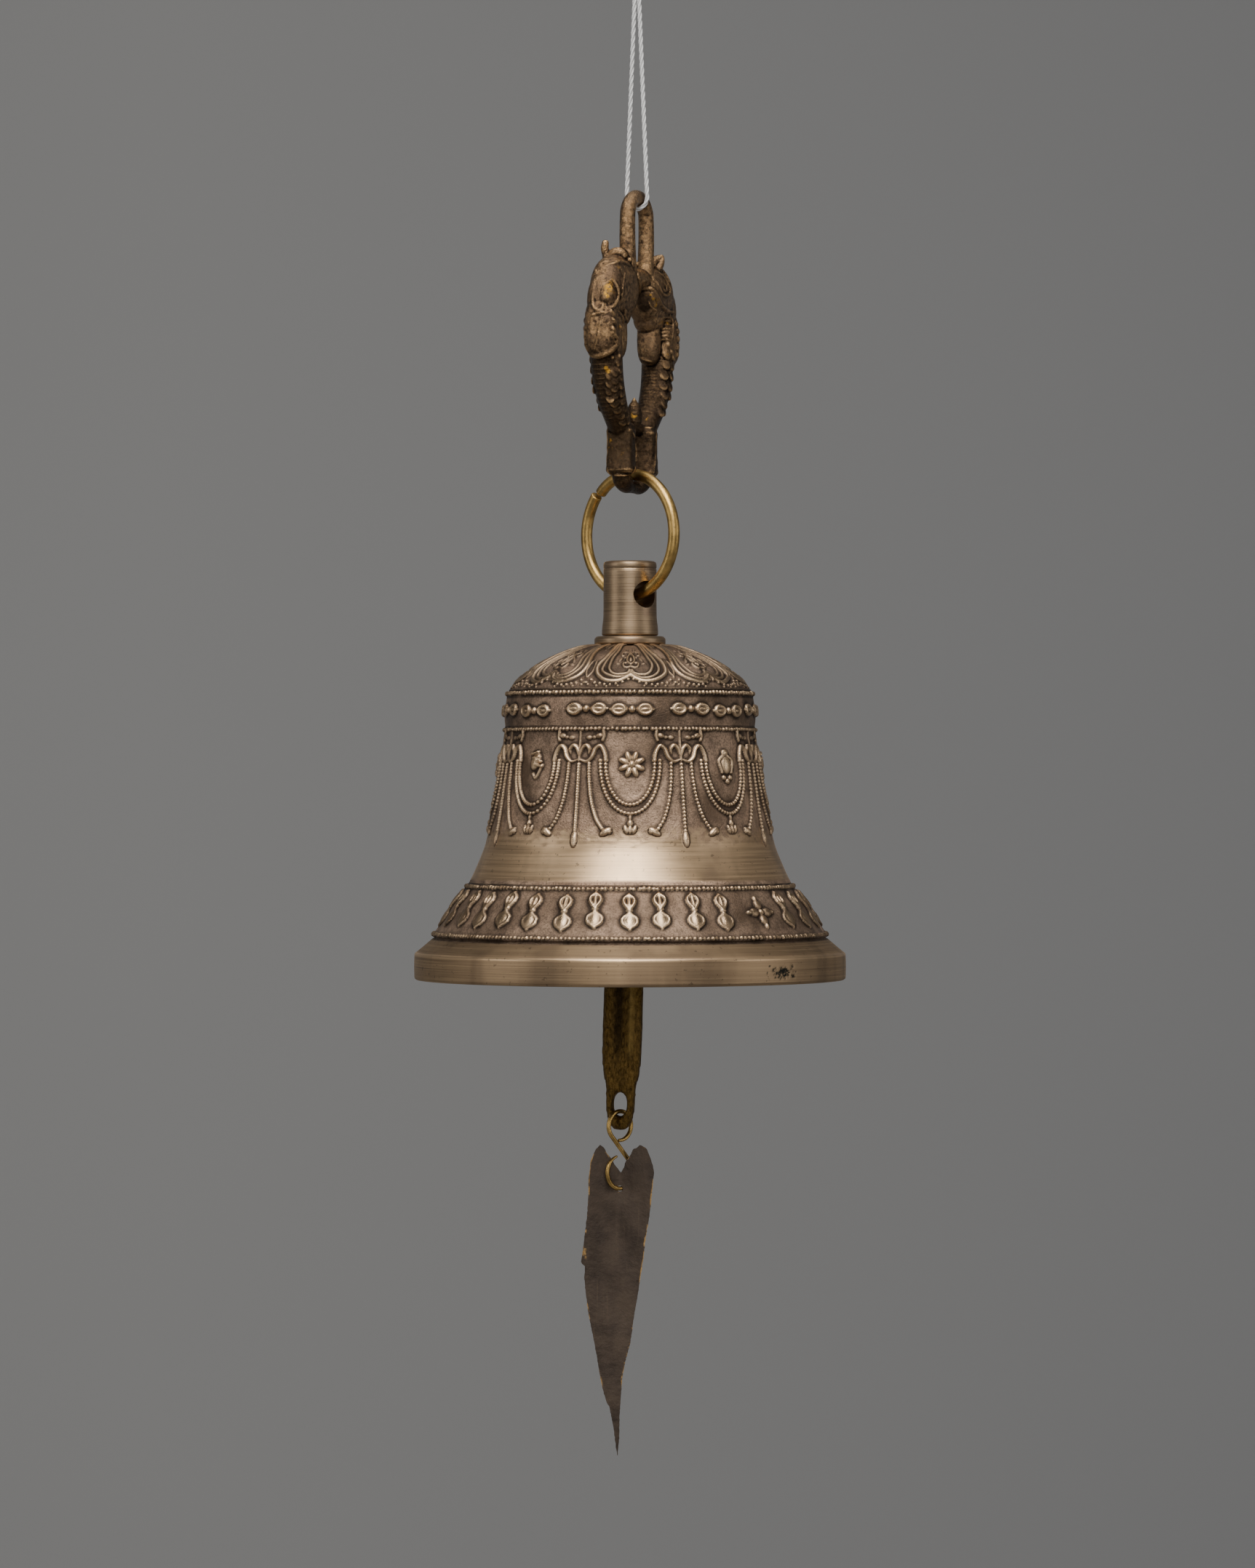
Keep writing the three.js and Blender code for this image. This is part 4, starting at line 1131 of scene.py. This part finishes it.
def add_leaf(copper):
    """Thin cut sheet: two lobes, a crease down from the notch, ragged edges and a flap, which is not bent here.
    """
    outline = [(-5.5, 12.2), (-6.8, 10.8), (-7.6, 9.0), (-8.1, 8.0), (-8.4, 5.0), (-8.7, 2.8),
               (-8.8, -2.7), (-9.2, -8.2), (-10.0, -14.5), (-10.8, -20.6), (-9.7, -21.6), (-9.9, -24.8),
               (-9.5, -29), (-8.9, -34), (-7.9, -39), (-7.0, -43.5), (-6.0, -49.5), (-5.0, -55.2),
               (-3.7, -59.6), (-3.0, -60.6), (-1.9, -66), (-1.5, -69), (-0.7, -74.6), (-0.2, -70),
               (-0.1, -63.5), (0.3, -57.6), (0.6, -53.2), (1.5, -48.2), (2.9, -43), (3.8, -36.4),
               (4.9, -30), (6.0, -22.8), (6.6, -18.6), (7.0, -14.7), (8.0, -9), (8.6, -4.4), (9.0, -0.6),
               (9.5, 4.4), (9.2, 6.4), (8.6, 8.2), (8.0, 9.9), (7.4, 11.2), (6.5, 11.7), (5.4, 12.2),
               (4.6, 11.2), (3.6, 11.0), (3.1, 9.6), (1.4, 7.2), (1.2, 6.0), (0.3, 4.4), (-0.6, 5.6),
               (-1.4, 6.6), (-2.4, 8.4), (-3.6, 9.8), (-4.4, 11.4)]
    fine = spaced(np.vstack([outline, outline[:1]]), 0.55)[:-1]
    random = np.random.default_rng(51)
    fine += random.normal(0, 0.035, fine.shape)
    hole = arc((0, 0), 0.85, 0, 342, 20)
    points, faces = plate_grid(fine, [hole], 0.9)
    reach = edge_distance(points, [fine, hole])
    x, z = points[:, 0], points[:, 2]
    middle = np.interp(z, [-73, -20, 0, 12], [-0.5, -1.2, 0, 0.2])
    crease = 0.55 * smooth_step(-30, 2, z) * (1 - np.exp(-np.abs(x - middle) / 2.4))
    curl = 0.5 * ((x - middle) / 9) ** 2 * smooth_step(-70, -10, z)
    wave = 0.10 * np.sin(0.33 * z + 0.5 * x) * smooth_step(0, 3, reach)
    bend = -crease - curl + wave + 0.0004 * (z + 20) ** 2 * (z < -20)
    bend *= smooth_step(1.6, 4.5, np.hypot(x, z))
    thickness = 0.26 + 0.05 * smooth_step(0, 1.5, reach)
    hung = points + np.outer(bend, [0, 1, 0]) + [HOOK_SHIFT, 0, HOOK_LOWER[1] - HOOK_LOWER[0]]
    leaf = make_object("leaf_sheet", *thick_sheet(hung, faces, -thickness, thickness))
    flap = smooth_step(-8.9, -9.5, x) * smooth_step(-7, -10, z) * smooth_step(-22.5, -21.5, z)
    worn = (1 - smooth_step(0.1, 0.9, reach)) * smooth_step(-64, -52, z)
    add_values(leaf, crest=np.tile(np.maximum(worn, flap), 2))
    belongs(sharpen(leaf, 50), "leaf", copper, "leaf_copper", "wind_leaf")


# ---------------------------------------------------------------- hanger

HANGER_TURN = -115
HANGER_SHIFT = 0.6  # how far the hanger hangs to the right of the bell's axis
CLAY_GRAIN = 0.22  # voxel that the clay is fused at

# Cast detail that the front view shows, placed over the photo: lines as (across, height) points with a radius,
# lumps as (across, height, half width, half length, lean) and spots as (across, height, reach). The dark spots
# are partly painted shade, as between the two heads and in the near eye's pupil, and partly dark patches of the
# casting.
NEAR_HEAD_LINES = (
    ([(-4.5, 194.4), (-3.5, 192.7), (-3.2, 190.5), (-3.8, 188.2), (-5.1, 186.9), (-6.2, 186.6)], 0.55),
    ([(-5.1, 194.7), (-6.3, 194.1), (-7.4, 192.3), (-7.9, 190), (-7.7, 188.7)], 0.35),
    ([(-10.4, 190.9), (-10.4, 188.7), (-10.1, 186.9), (-8.4, 185.9), (-7.6, 186.9), (-7.5, 188.7)], 0.45),
    ([(-11.3, 184.5), (-9.7, 185.1), (-8.1, 185.5), (-6.3, 185.4)], 0.45),
    ([(-3.4, 185.8), (-2.3, 184.4), (-1.8, 182.6)], 0.55),
    ([(-2.7, 181.9), (-2, 180.1), (-2.2, 179.4)], 0.5),
    ([(-1.5, 186.7), (-1.2, 184.2), (-0.5, 182.8)], 0.38),
    ([(-4.9, 180), (-3.9, 179), (-3.5, 177.7), (-4.1, 175.9), (-5.7, 174.5), (-7.7, 173.6), (-9.9, 173.3),
      (-11.5, 173.9)], 0.85),
    ([(-12.4, 181.5), (-12.8, 178.6), (-12.9, 175.9), (-12.2, 174.2)], 0.42),
    ([(-1.2, 196.8), (-1.8, 194.1), (-2.1, 190.9), (-2.7, 188)], 0.32),
    ([(-1.6, 186.7), (-0.6, 185.1), (0.9, 185.5), (1.8, 187.6)], 0.4),
    ([(-5.9, 199), (-4.3, 199.1), (-3, 199.8), (-1.2, 199.4), (0.6, 198.2)], 0.5),
    ([(1.2, 198.5), (2, 196.6), (2.7, 194.1), (2.8, 192.1), (2.4, 190.2)], 0.42),
    ([(-8.1, 185.8), (-8, 183.7), (-8.5, 181.5), (-9.2, 177.9), (-9.8, 175.2), (-10.4, 174.1)], 0.3),
)
FAR_HEAD_LINES = (
    ([(6.3, 197), (7.8, 196.8), (9.4, 195.4), (10.6, 193.4), (11.2, 191.4), (10.6, 190.2), (9.4, 190.3),
      (8.4, 192.1), (7.6, 193.9), (6.5, 195.1)], 0.42),
    ([(8.7, 194.1), (9.7, 193.4), (10.3, 192.1), (9.8, 191.2), (9.2, 192.3)], 0.36),
    ([(6, 198.1), (7.8, 198), (9.2, 197), (10.7, 194.5), (11.6, 192.1)], 0.42),
    ([(3.3, 194.1), (5.4, 194.8), (6.5, 195)], 0.4),
    ([(3, 191.8), (4.7, 192.3), (6.5, 191.8), (7.8, 189.6), (8.9, 187.3), (10.5, 186), (12.1, 185.5)], 0.6),
    ([(5.4, 190.9), (6.5, 189.4), (7.1, 187.3)], 0.32),
    ([(6, 191.2), (7.4, 189.1), (8.5, 186.9)], 0.32),
    ([(5.1, 188.7), (6, 186.9), (7.8, 185.8)], 0.32),
    ([(11, 184.9), (11.9, 183.1), (11.9, 179.7), (11.4, 177.5)], 0.42),
    ([(2.5, 173.2), (4.2, 172.3), (6.5, 171.8)], 0.35),
)
FAR_SNOUT_RIBS = tuple(
    ([(8.94 - 0.07 * n, 183.9 - n), (10.3, 184.2 - 1.03 * n), (11.6, 183.9 - 1.03 * n)], 0.27)
    for n in range(7)
)
CUFF_LINES = (
    ([(0.7, 152.3), (1.6, 149.3), (1.8, 146.6), (1.6, 143), (0.7, 140.9)], 0.36),
    ([(-6.4, 142.1), (-5.7, 140.8), (-3.6, 140.2), (-0.1, 140.3)], 0.42),
    ([(-6.4, 153.4), (-6.2, 150.7), (-6.3, 146.6), (-6.5, 142.6)], 0.3),
    ([(7.4, 153.2), (7.2, 150.7), (7.1, 146.6), (6.8, 143), (6.6, 141)], 0.38),
)
FOLDS = (
    (-4.8, 185.4, 1.5, 0.8, -58), (-4.2, 183, 1.55, 0.8, -55), (-4.3, 180.6, 1.6, 0.8, -57),
)
NEAR_SCALES = (
    (-4.3, 169.4, 1.3, 1.3, 5), (-4.2, 167.2, 1.35, 1.3, 5), (-4.3, 165.1, 1.35, 1.3, 8),
    (-4.5, 162.9, 1.3, 1.3, 12), (-4.4, 160.8, 1.3, 1.25, 20), (-3.7, 158.9, 1.25, 1.25, 30),
    (-2.9, 157.1, 1.2, 1.2, 38), (-2.1, 155.3, 1.1, 1.1, 42), (-3.2, 172, 1.1, 1.2, 0),
    (-2.9, 170.3, 1.15, 1.3, 2), (-2.6, 168.1, 1.2, 1.3, 3), (-2.5, 165.9, 1.2, 1.3, 6),
    (-2.4, 163.7, 1.2, 1.3, 10), (-2.2, 161.5, 1.2, 1.25, 18), (-1.7, 159.4, 1.15, 1.25, 28),
    (-1.2, 157.5, 1.1, 1.2, 36), (-0.7, 155.8, 1, 1.1, 40), (-5.6, 168.3, 1.1, 1.2, 5),
    (-5.6, 166.1, 1.1, 1.2, 8), (-5.8, 164, 1.1, 1.2, 12), (-5.6, 161.9, 1.1, 1.2, 18),
)
FAR_SCALES = (
    (10.3, 174.1, 1.25, 1.2, -4), (10.1, 171.3, 1.25, 1.2, -2), (9.5, 168.3, 1.3, 1.2, 4),
    (9.2, 165.4, 1.3, 1.2, 8), (9.5, 162.8, 1.3, 1.15, 14), (9.5, 160.2, 1.3, 1.15, 22),
    (8.4, 157.9, 1.2, 1.1, 34), (12, 173.7, 1.1, 1.2, -4), (11.5, 170.9, 1.2, 1.25, -2),
    (11.5, 168.1, 1.2, 1.25, 4), (11, 165.2, 1.2, 1.25, 10), (10.9, 162.7, 1.1, 1.2, 16),
    (10.4, 160.4, 1.1, 1.2, 26), (9.4, 158.1, 1, 1.1, 36),
)
FAR_CHEEK_LUMPS = (
    (12.9, 182.4, 1.1, 1.1, 0), (13.3, 180.3, 1.1, 1.1, 0), (13.7, 178.1, 1.1, 1.1, 0),
    (13.8, 175.9, 1.1, 1.1, 0), (13.4, 173.7, 1.1, 1.1, 0), (10.7, 176.6, 0.9, 0.9, 0),
    (10.1, 174.1, 1, 0.9, 0), (11.6, 174.5, 1, 0.9, 0),
)
NEAR_CHEEK_LUMPS = (
    (-3.9, 177.2, 0.7, 0.8, 0), (-3.5, 175.2, 0.7, 0.8, 0), (-3, 173.4, 0.6, 0.8, 0),
    (-4.3, 174.5, 0.6, 0.6, 0), (-4.9, 173, 0.7, 0.6, 0),
)
GILT_SPOTS = (
    (-5.9, 192.3, 1.6), (-5.3, 193.6, 0.9), (-6.6, 190.5, 1.3), (-4.7, 191.2, 0.8), (-7.8, 189.6, 0.5),
    (-6.7, 170.1, 0.7), (-6.1, 169.2, 0.8), (1.2, 157, 1.1), (6.5, 189.6, 0.9), (7.1, 187.6, 0.8),
    (10.5, 182.4, 0.8), (-3, 197.9, 0.6),
)
DARK_AND_SHADE_SPOTS = (
    (-6.8, 188.7, 1.1), (-6.3, 187.6, 0.7), (-2.5, 191.4, 0.9), (-2.5, 189.6, 0.7), (-0.2, 193.4, 0.5),
    (0.7, 192.3, 0.45), (1.8, 192.2, 0.4), (-0.5, 190.9, 0.45), (-0.3, 189.4, 0.45), (-1.2, 188.5, 0.45),
    (3.6, 189.1, 3.2), (4.2, 187.3, 2.6), (8.5, 180.1, 1.3), (8.9, 177.9, 1.3), (-4.8, 171.6, 2),
    (-0.9, 149.1, 1.8), (-0.1, 146.3, 1.6), (1.1, 155.1, 1.3), (4.8, 149.9, 1.6), (5.1, 146.3, 1.4),
    (-8.8, 168.5, 1.6), (-7.2, 163.8, 1.6), (-7.5, 160, 1.6), (-5.6, 155.6, 1.8), (-4.7, 174.5, 2.4),
)


def unit(v):
    return np.asarray(v, float) / np.linalg.norm(v)


def opposite(points):
    """The same points half a turn round the hanger, on the side that the front view doesn't show."""
    return turn(np.asarray(points) - [HANGER_SHIFT, 0, 0], 180) + [HANGER_SHIFT, 0, 0]


def power(value, exponent):
    return np.sign(value) * np.abs(value) ** exponent


class Clay:
    """Lumps and rods that are pressed into one another, then fused into one skin."""

    def __init__(self):
        self.parts = []

    def lump(self, centre, radii, long=(0, 0, 1), out=(1, 0, 0), sides=12, rings=7, square=2.0, blunt=2.0):
        """An ellipsoid with radii along out, across and long; square and blunt fill out its corners."""
        long = unit(long)
        out = unit(np.asarray(out, float) - long * (np.asarray(out, float) @ long))
        across = np.cross(long, out)
        t = np.linspace(0, math.pi, rings + 2)[1:-1]
        a = full_turn(sides)
        section = (np.outer(power(np.cos(a), 2 / square) * radii[0], out)
                   + np.outer(power(np.sin(a), 2 / square) * radii[1], across))
        rings_of = [np.asarray(centre) + math.sin(angle) ** (2 / blunt) * section
                    - power(math.cos(angle), 2 / blunt) * radii[2] * long for angle in t]
        self.parts.append(loft(rings_of))

    def rod(self, points, radius, step=0.5, sides=10):
        """A rod with round ends; radius is one number or one for each point."""
        radii = np.broadcast_to(np.asarray(radius, float), len(points))
        whole = spline(np.column_stack([np.asarray(points, float), radii]), step=step)
        radii = np.maximum(whole[:, 3], 0.15)
        self.parts.append(rod(whole[:, :3], radii, sides, rounded=0.8 * float(radii.min())))

    def placed(self, degrees, shift):
        """The parts turned about the hanger's middle and moved across."""
        return [(turn(points, degrees) + [shift, 0, 0], faces) for points, faces in self.parts]


class Carver:
    """Puts detail on a body where the front view shows it, and again on the side that isn't seen."""

    def __init__(self, body):
        points, faces = joined(*body)
        self.tree = BVHTree.FromPolygons([Vector(p) for p in points], faces)
        self.clay = Clay()

    def at(self, across, height):
        """The point and normal that the front view meets there, or nearer to the middle if it misses."""
        eye = Vector((CAMERA_ASIDE, -CAMERA_DISTANCE / MM, CAMERA_ABOVE_LIP))
        for inwards in range(20):
            aim = Vector((across - 0.25 * inwards * math.copysign(1, across), 0, height))
            point, normal, _, _ = self.tree.ray_cast(eye, aim - eye)
            if point is not None:
                return np.array(point), np.array(normal if normal.y < 0 else -normal)
        return np.array([across, 0, height]), np.array([0, 1.0, 0])

    def lines(self, lines):
        for line, radius in lines:
            hits = [self.at(*p) for p in spline(line, step=0.8)]
            path = np.array([point - normal * 0.3 * radius for point, normal in hits])
            breaks = np.flatnonzero(np.linalg.norm(np.diff(path, axis=0), axis=1) > 2.4) + 1
            for run in np.split(path, breaks):
                if len(run) < 3:
                    continue
                run[1:-1] = (run[:-2] + 2 * run[1:-1] + run[2:]) / 4
                share = np.linspace(0, 1, len(run))
                size = 1.2 * radius * np.interp(share, [0, 0.2, 0.8, 1], [0.6, 1, 1, 0.6])
                self.clay.rod(run, size)
                self.clay.rod(opposite(run), size)

    def lumps(self, spots, thickness=0.45, lift=0.28):
        """Ovals from (across, height, half width, half length, lean); they stand out at their lower end."""
        for across, height, wide, long, lean in spots:
            point, normal = self.at(across, height)
            if normal[1] > -0.12:
                continue
            a = math.radians(lean)
            down = np.array([math.sin(a), 0, -math.cos(a)])
            down = unit(down - normal * (down @ normal))
            axis = unit(down + lift * normal)
            base = point - 0.3 * thickness * normal
            shape = np.array([base, base + axis, base + normal])
            for centre, tip, head in (shape, opposite(shape)):
                self.clay.lump(centre, (thickness, wide, long), long=tip - centre, out=head - centre,
                               sides=16, rings=11)


def add_hanger(bronze):
    """Two makara heads back to back under an eye, with scaly serpents down to a stirrup."""
    head, middle, eye = Clay(), Clay(), Clay()
    add_head(head)
    add_serpent(head)
    add_foot(middle)
    add_eye(eye)
    near = head.placed(HANGER_TURN, HANGER_SHIFT)
    far = head.placed(HANGER_TURN + 180, HANGER_SHIFT)
    body = near + far + middle.placed(HANGER_TURN, HANGER_SHIFT)
    carver = Carver(body)
    for lines in (NEAR_HEAD_LINES, FAR_HEAD_LINES, FAR_SNOUT_RIBS, CUFF_LINES):
        carver.lines(lines)
    carver.lumps(FOLDS, 0.65, 0.15)
    scales = [(x, z, 1.2 * wide, 1.55 * long, lean) for x, z, wide, long, lean in NEAR_SCALES + FAR_SCALES]
    carver.lumps(scales, 0.6, 0.3)
    carver.lumps(NEAR_CHEEK_LUMPS + FAR_CHEEK_LUMPS, 0.65, 0.1)
    add_eyeball(carver)
    add_ears(carver.clay)
    points, faces = joined(*body, *carver.clay.parts, *eye.placed(HANGER_TURN, CORD_SHIFT))
    hanger = make_object("makara_hanger", points, faces)
    fuse = hanger.modifiers.new("fuse", "REMESH")
    fuse.mode, fuse.voxel_size, fuse.use_smooth_shade = "VOXEL", CLAY_GRAIN * MM, True
    apply_modifiers(hanger)
    weather(hanger, carver)
    belongs(hanger, "hanger", bronze, "hanger_bronze", "hanger_eye", "hanger_shoulder", "hanger_head_near",
            "hanger_head_far", "hanger_serpent_near", "hanger_serpent_far", "hanger_jewel", "hanger_stirrup")


def add_eye(clay):
    """Hand-bent rod of the eye; local X runs along the hanger's two arms and local Y across it."""
    legs = [(5.5, 0, 195.5, 2.4), (5.8, 0, 199.5, 2.3), (6.15, 0, 204, 2.25), (6.25, 0, 208, 2.2)]
    arch = [(x, 0, z, 2.15) for x, z in arc((0, 211.2), 6.2, 15, 165, 11)]
    course = np.array(legs + arch + [(-x, y, z, r) for x, y, z, r in reversed(legs)])
    clay.rod(course[:, :3], course[:, 3], sides=24)
    for x in (-1, 1):
        clay.rod([(4.0 * x, -2.0, 199.4), (7.8 * x, -1.6, 199.0), (8.0 * x, 1.6, 199.4)], 0.7)


def add_foot(clay):
    """Shoulder, cuffs, stirrup and the jewel between them."""
    clay.lump((0, 0, 194.6), (8.0, 4.0, 3.4), sides=20, rings=9, square=3)
    for side in (-1, 1):
        x = 7.2 * side
        levels = ((140.4, 2.7, 3.7), (141.2, 3.1, 4.15), (143.0, 2.8, 3.95), (146.0, 2.5, 3.75),
                  (149.5, 2.6, 3.85), (152.2, 2.9, 4.0), (154.0, 2.4, 3.2))
        a = full_turn(28)
        deepen, widen = power(np.cos(a), 0.6), power(np.sin(a), 0.6)
        clay.parts.append(loft([np.column_stack([x + deep * deepen, wide * widen, np.full(len(a), z)])
                                for z, deep, wide in levels]))
    u = [(7.4, 0, 143), (7.2, 0, 140.6), (6.2, 0, 138.6), (4.2, 0, 137.3), (1.8, 0, 136.85), (0, 0, 136.8)]
    u += [(-x, y, z) for x, y, z in reversed(u[:-1])]
    clay.rod(u, [2.4, 2.6, 2.7, 2.3, 1.7, 1.62, 1.7, 2.3, 2.7, 2.6, 2.4], sides=20)
    clay.rod([(-7.4, 0, 153.4), (-3, 0, 153.0), (3, 0, 153.0), (7.4, 0, 153.4)], 1.5, sides=14)
    clay.lump((0, 0.6, 156.4), (2.2, 2.25, 4.5), sides=18, rings=11)
    clay.rod([(0, 0.6, 158.6), (0, 0.6, 160.2), (0, 0.6, 161.6)], [1.75, 1.1, 0.3])


def add_head(clay):
    """Domed skull, blunt snout that hangs down in front and a lower jaw behind it."""
    clay.lump((11.6, 0, 191.0), (9.4, 5.0, 9.5), sides=32, rings=17, square=3.0)
    clay.lump((18.4, 0, 187.0), (4.6, 4.3, 8.5), sides=24, rings=13, square=2.8)
    clay.lump((19.8, 0, 179.6), (4.4, 4.6, 9.0), sides=28, rings=17, square=2.5, blunt=2.7)
    clay.lump((11.0, 0, 184.6), (5.2, 3.9, 4.8), sides=22, rings=11, square=2.6)
    clay.lump((11.1, 0, 178.6), (3.1, 3.3, 7.3), sides=20, rings=11, square=2.4, blunt=2.7)


def add_eyeball(carver):
    """A swelling under the lids of each seen eye; the drilled pupil beside it is not cut."""
    for across, height in ((-5.9, 191.3), (-6.4, 189.6)):
        point, normal = carver.at(across, height)
        shape = np.array([point - 0.35 * normal, point + normal])
        for centre, head in (shape, opposite(shape)):
            carver.clay.lump(centre, (0.85, 1.55, 2.2), out=head - centre, sides=14, rings=9)


def add_ears(clay):
    """Horns and ears; each was modelled by hand in the wax, and no two are alike."""
    clay.rod([(-6.2, -7.4, 198.6), (-6.6, -7.3, 200.6), (-7.0, -7.2, 202.6), (-6.8, -7.2, 204.2)],
             [1.5, 1.15, 1.15, 1.0])
    clay.rod([(-6.0, -7.6, 200.0), (-4.4, -7.9, 201.2), (-2.9, -8.2, 201.3), (-1.7, -8.0, 200.4)],
             [1.2, 1.5, 1.5, 1.3])
    clay.rod([(4.8, 9.0, 199.2), (6.6, 9.4, 200.6), (8.0, 9.6, 201.6), (9.1, 9.8, 202.3)],
             [1.9, 1.5, 1.0, 0.35])
    clay.rod([(7.0, 9.4, 197.8), (8.2, 9.6, 199.4), (8.9, 9.7, 200.9), (9.3, 9.8, 201.9)],
             [1.8, 1.3, 0.9, 0.35])


def add_serpent(clay):
    """A neck that leaves the mouth and narrows down to its cuff, with ribs on its outer and inner faces."""
    course = spline([(17.0, 0, 182, 4.5), (16.9, 0, 173, 4.5), (15.7, 0, 166, 4.3), (13.2, 0, 160.4, 4.0),
                     (10.3, 0, 156.2, 3.6), (8.2, 0, 153.0, 3.2)], step=0.6)
    centres, radii = course[:, :3], course[:, 3]
    clay.rod(centres[::2], radii[::2], sides=24)
    _, side, top = frames_along(centres)
    a = np.radians(np.linspace(-38, 38, 5))
    for i in range(12, len(course) - 6, 2):
        for face in (top[i], -top[i]):
            bend = np.outer(np.sin(a), side[i]) + np.outer(np.cos(a), face)
            clay.rod(centres[i] + (radii[i] - 0.02) * bend, 0.13, sides=8)


def weather(obj, carver):
    """Rubs the skin a little and keeps its crests, hollows and gilt patches for the material; the hollows take
    in the dark spots, which are partly painted shade, and the darkening below the heads.
    """
    mesh = obj.data
    count = len(mesh.vertices)
    points = np.empty(3 * count)
    mesh.vertices.foreach_get("co", points)
    points = points.reshape(-1, 3) / MM
    edges = np.empty(2 * len(mesh.edges), int)
    mesh.edges.foreach_get("vertices", edges)
    a, b = edges.reshape(-1, 2).T
    degree = np.bincount(np.concatenate([a, b]), minlength=count)[:, None]

    def eased(values, passes):
        for _ in range(passes):
            total = np.zeros_like(values)
            for column in range(values.shape[1]):
                total[:, column] = (np.bincount(a, values[b, column], count)
                                    + np.bincount(b, values[a, column], count))
            values = 0.5 * values + 0.5 * total / degree
        return values

    rubbed = eased(points, 1)
    wide = eased(rubbed, 16)
    normals = np.empty(3 * count)
    mesh.vertex_normals.foreach_get("vector", normals)
    normals = normals.reshape(-1, 3)
    rise = np.einsum("ij,ij->i", rubbed - wide, normals)
    mesh.vertices.foreach_set("co", (rubbed * MM).ravel())
    mesh.update()
    world = rubbed - [AXIS / MM, 0, LIP / MM]
    gilt = spotted(world, carver, GILT_SPOTS)
    # dark spots, partly painted shade
    dark = spotted(world, carver, DARK_AND_SHADE_SPOTS)
    crest = smooth_step(0.03, 0.15, rise)
    # the skin is darker below the heads, down the serpents to the stirrup
    darker_below_heads = 0.8 * smooth_step(178, 170, world[:, 2]) * (1 - 0.9 * crest)
    # hollows of the skin are darkened, and so are the dark spots, which are partly painted shade
    hollow = np.maximum(smooth_step(-0.01, -0.08, rise), 0.85 * dark * (1 - 0.6 * crest))
    add_values(obj, crest=0.8 * crest, hollow=np.maximum(hollow, darker_below_heads), gilt=gilt)


def spotted(points, carver, spots):
    """How much each point lies in one of the spots, on the seen side of the body or on the other."""
    amount = np.zeros(len(points))
    for across, height, reach in spots:
        middle = carver.at(across, height)[0]
        for centre in (middle, opposite(middle)):
            away = np.linalg.norm(points - centre, axis=1)
            amount = np.maximum(amount, 1 - smooth_step(0.55 * reach, reach, away))
    return amount


# ---------------------------------------------------------------- the whole bell


def build():
    add_camera()
    add_cord(white_cotton())
    add_studio()
    bronze = bell_bronze()
    for maker in (add_dome, add_band, add_wall, add_skirt, add_rim):
        maker(bronze)
    turned = turned_bronze()
    add_stem(turned)
    add_collar(turned)
    add_hanger(hanger_bronze())
    brass = worn_brass()
    add_ring(brass)
    add_hook(brass)
    add_inner_parts(inner_iron())
    add_clapper(clapper_brass())
    add_leaf(leaf_copper())


build()
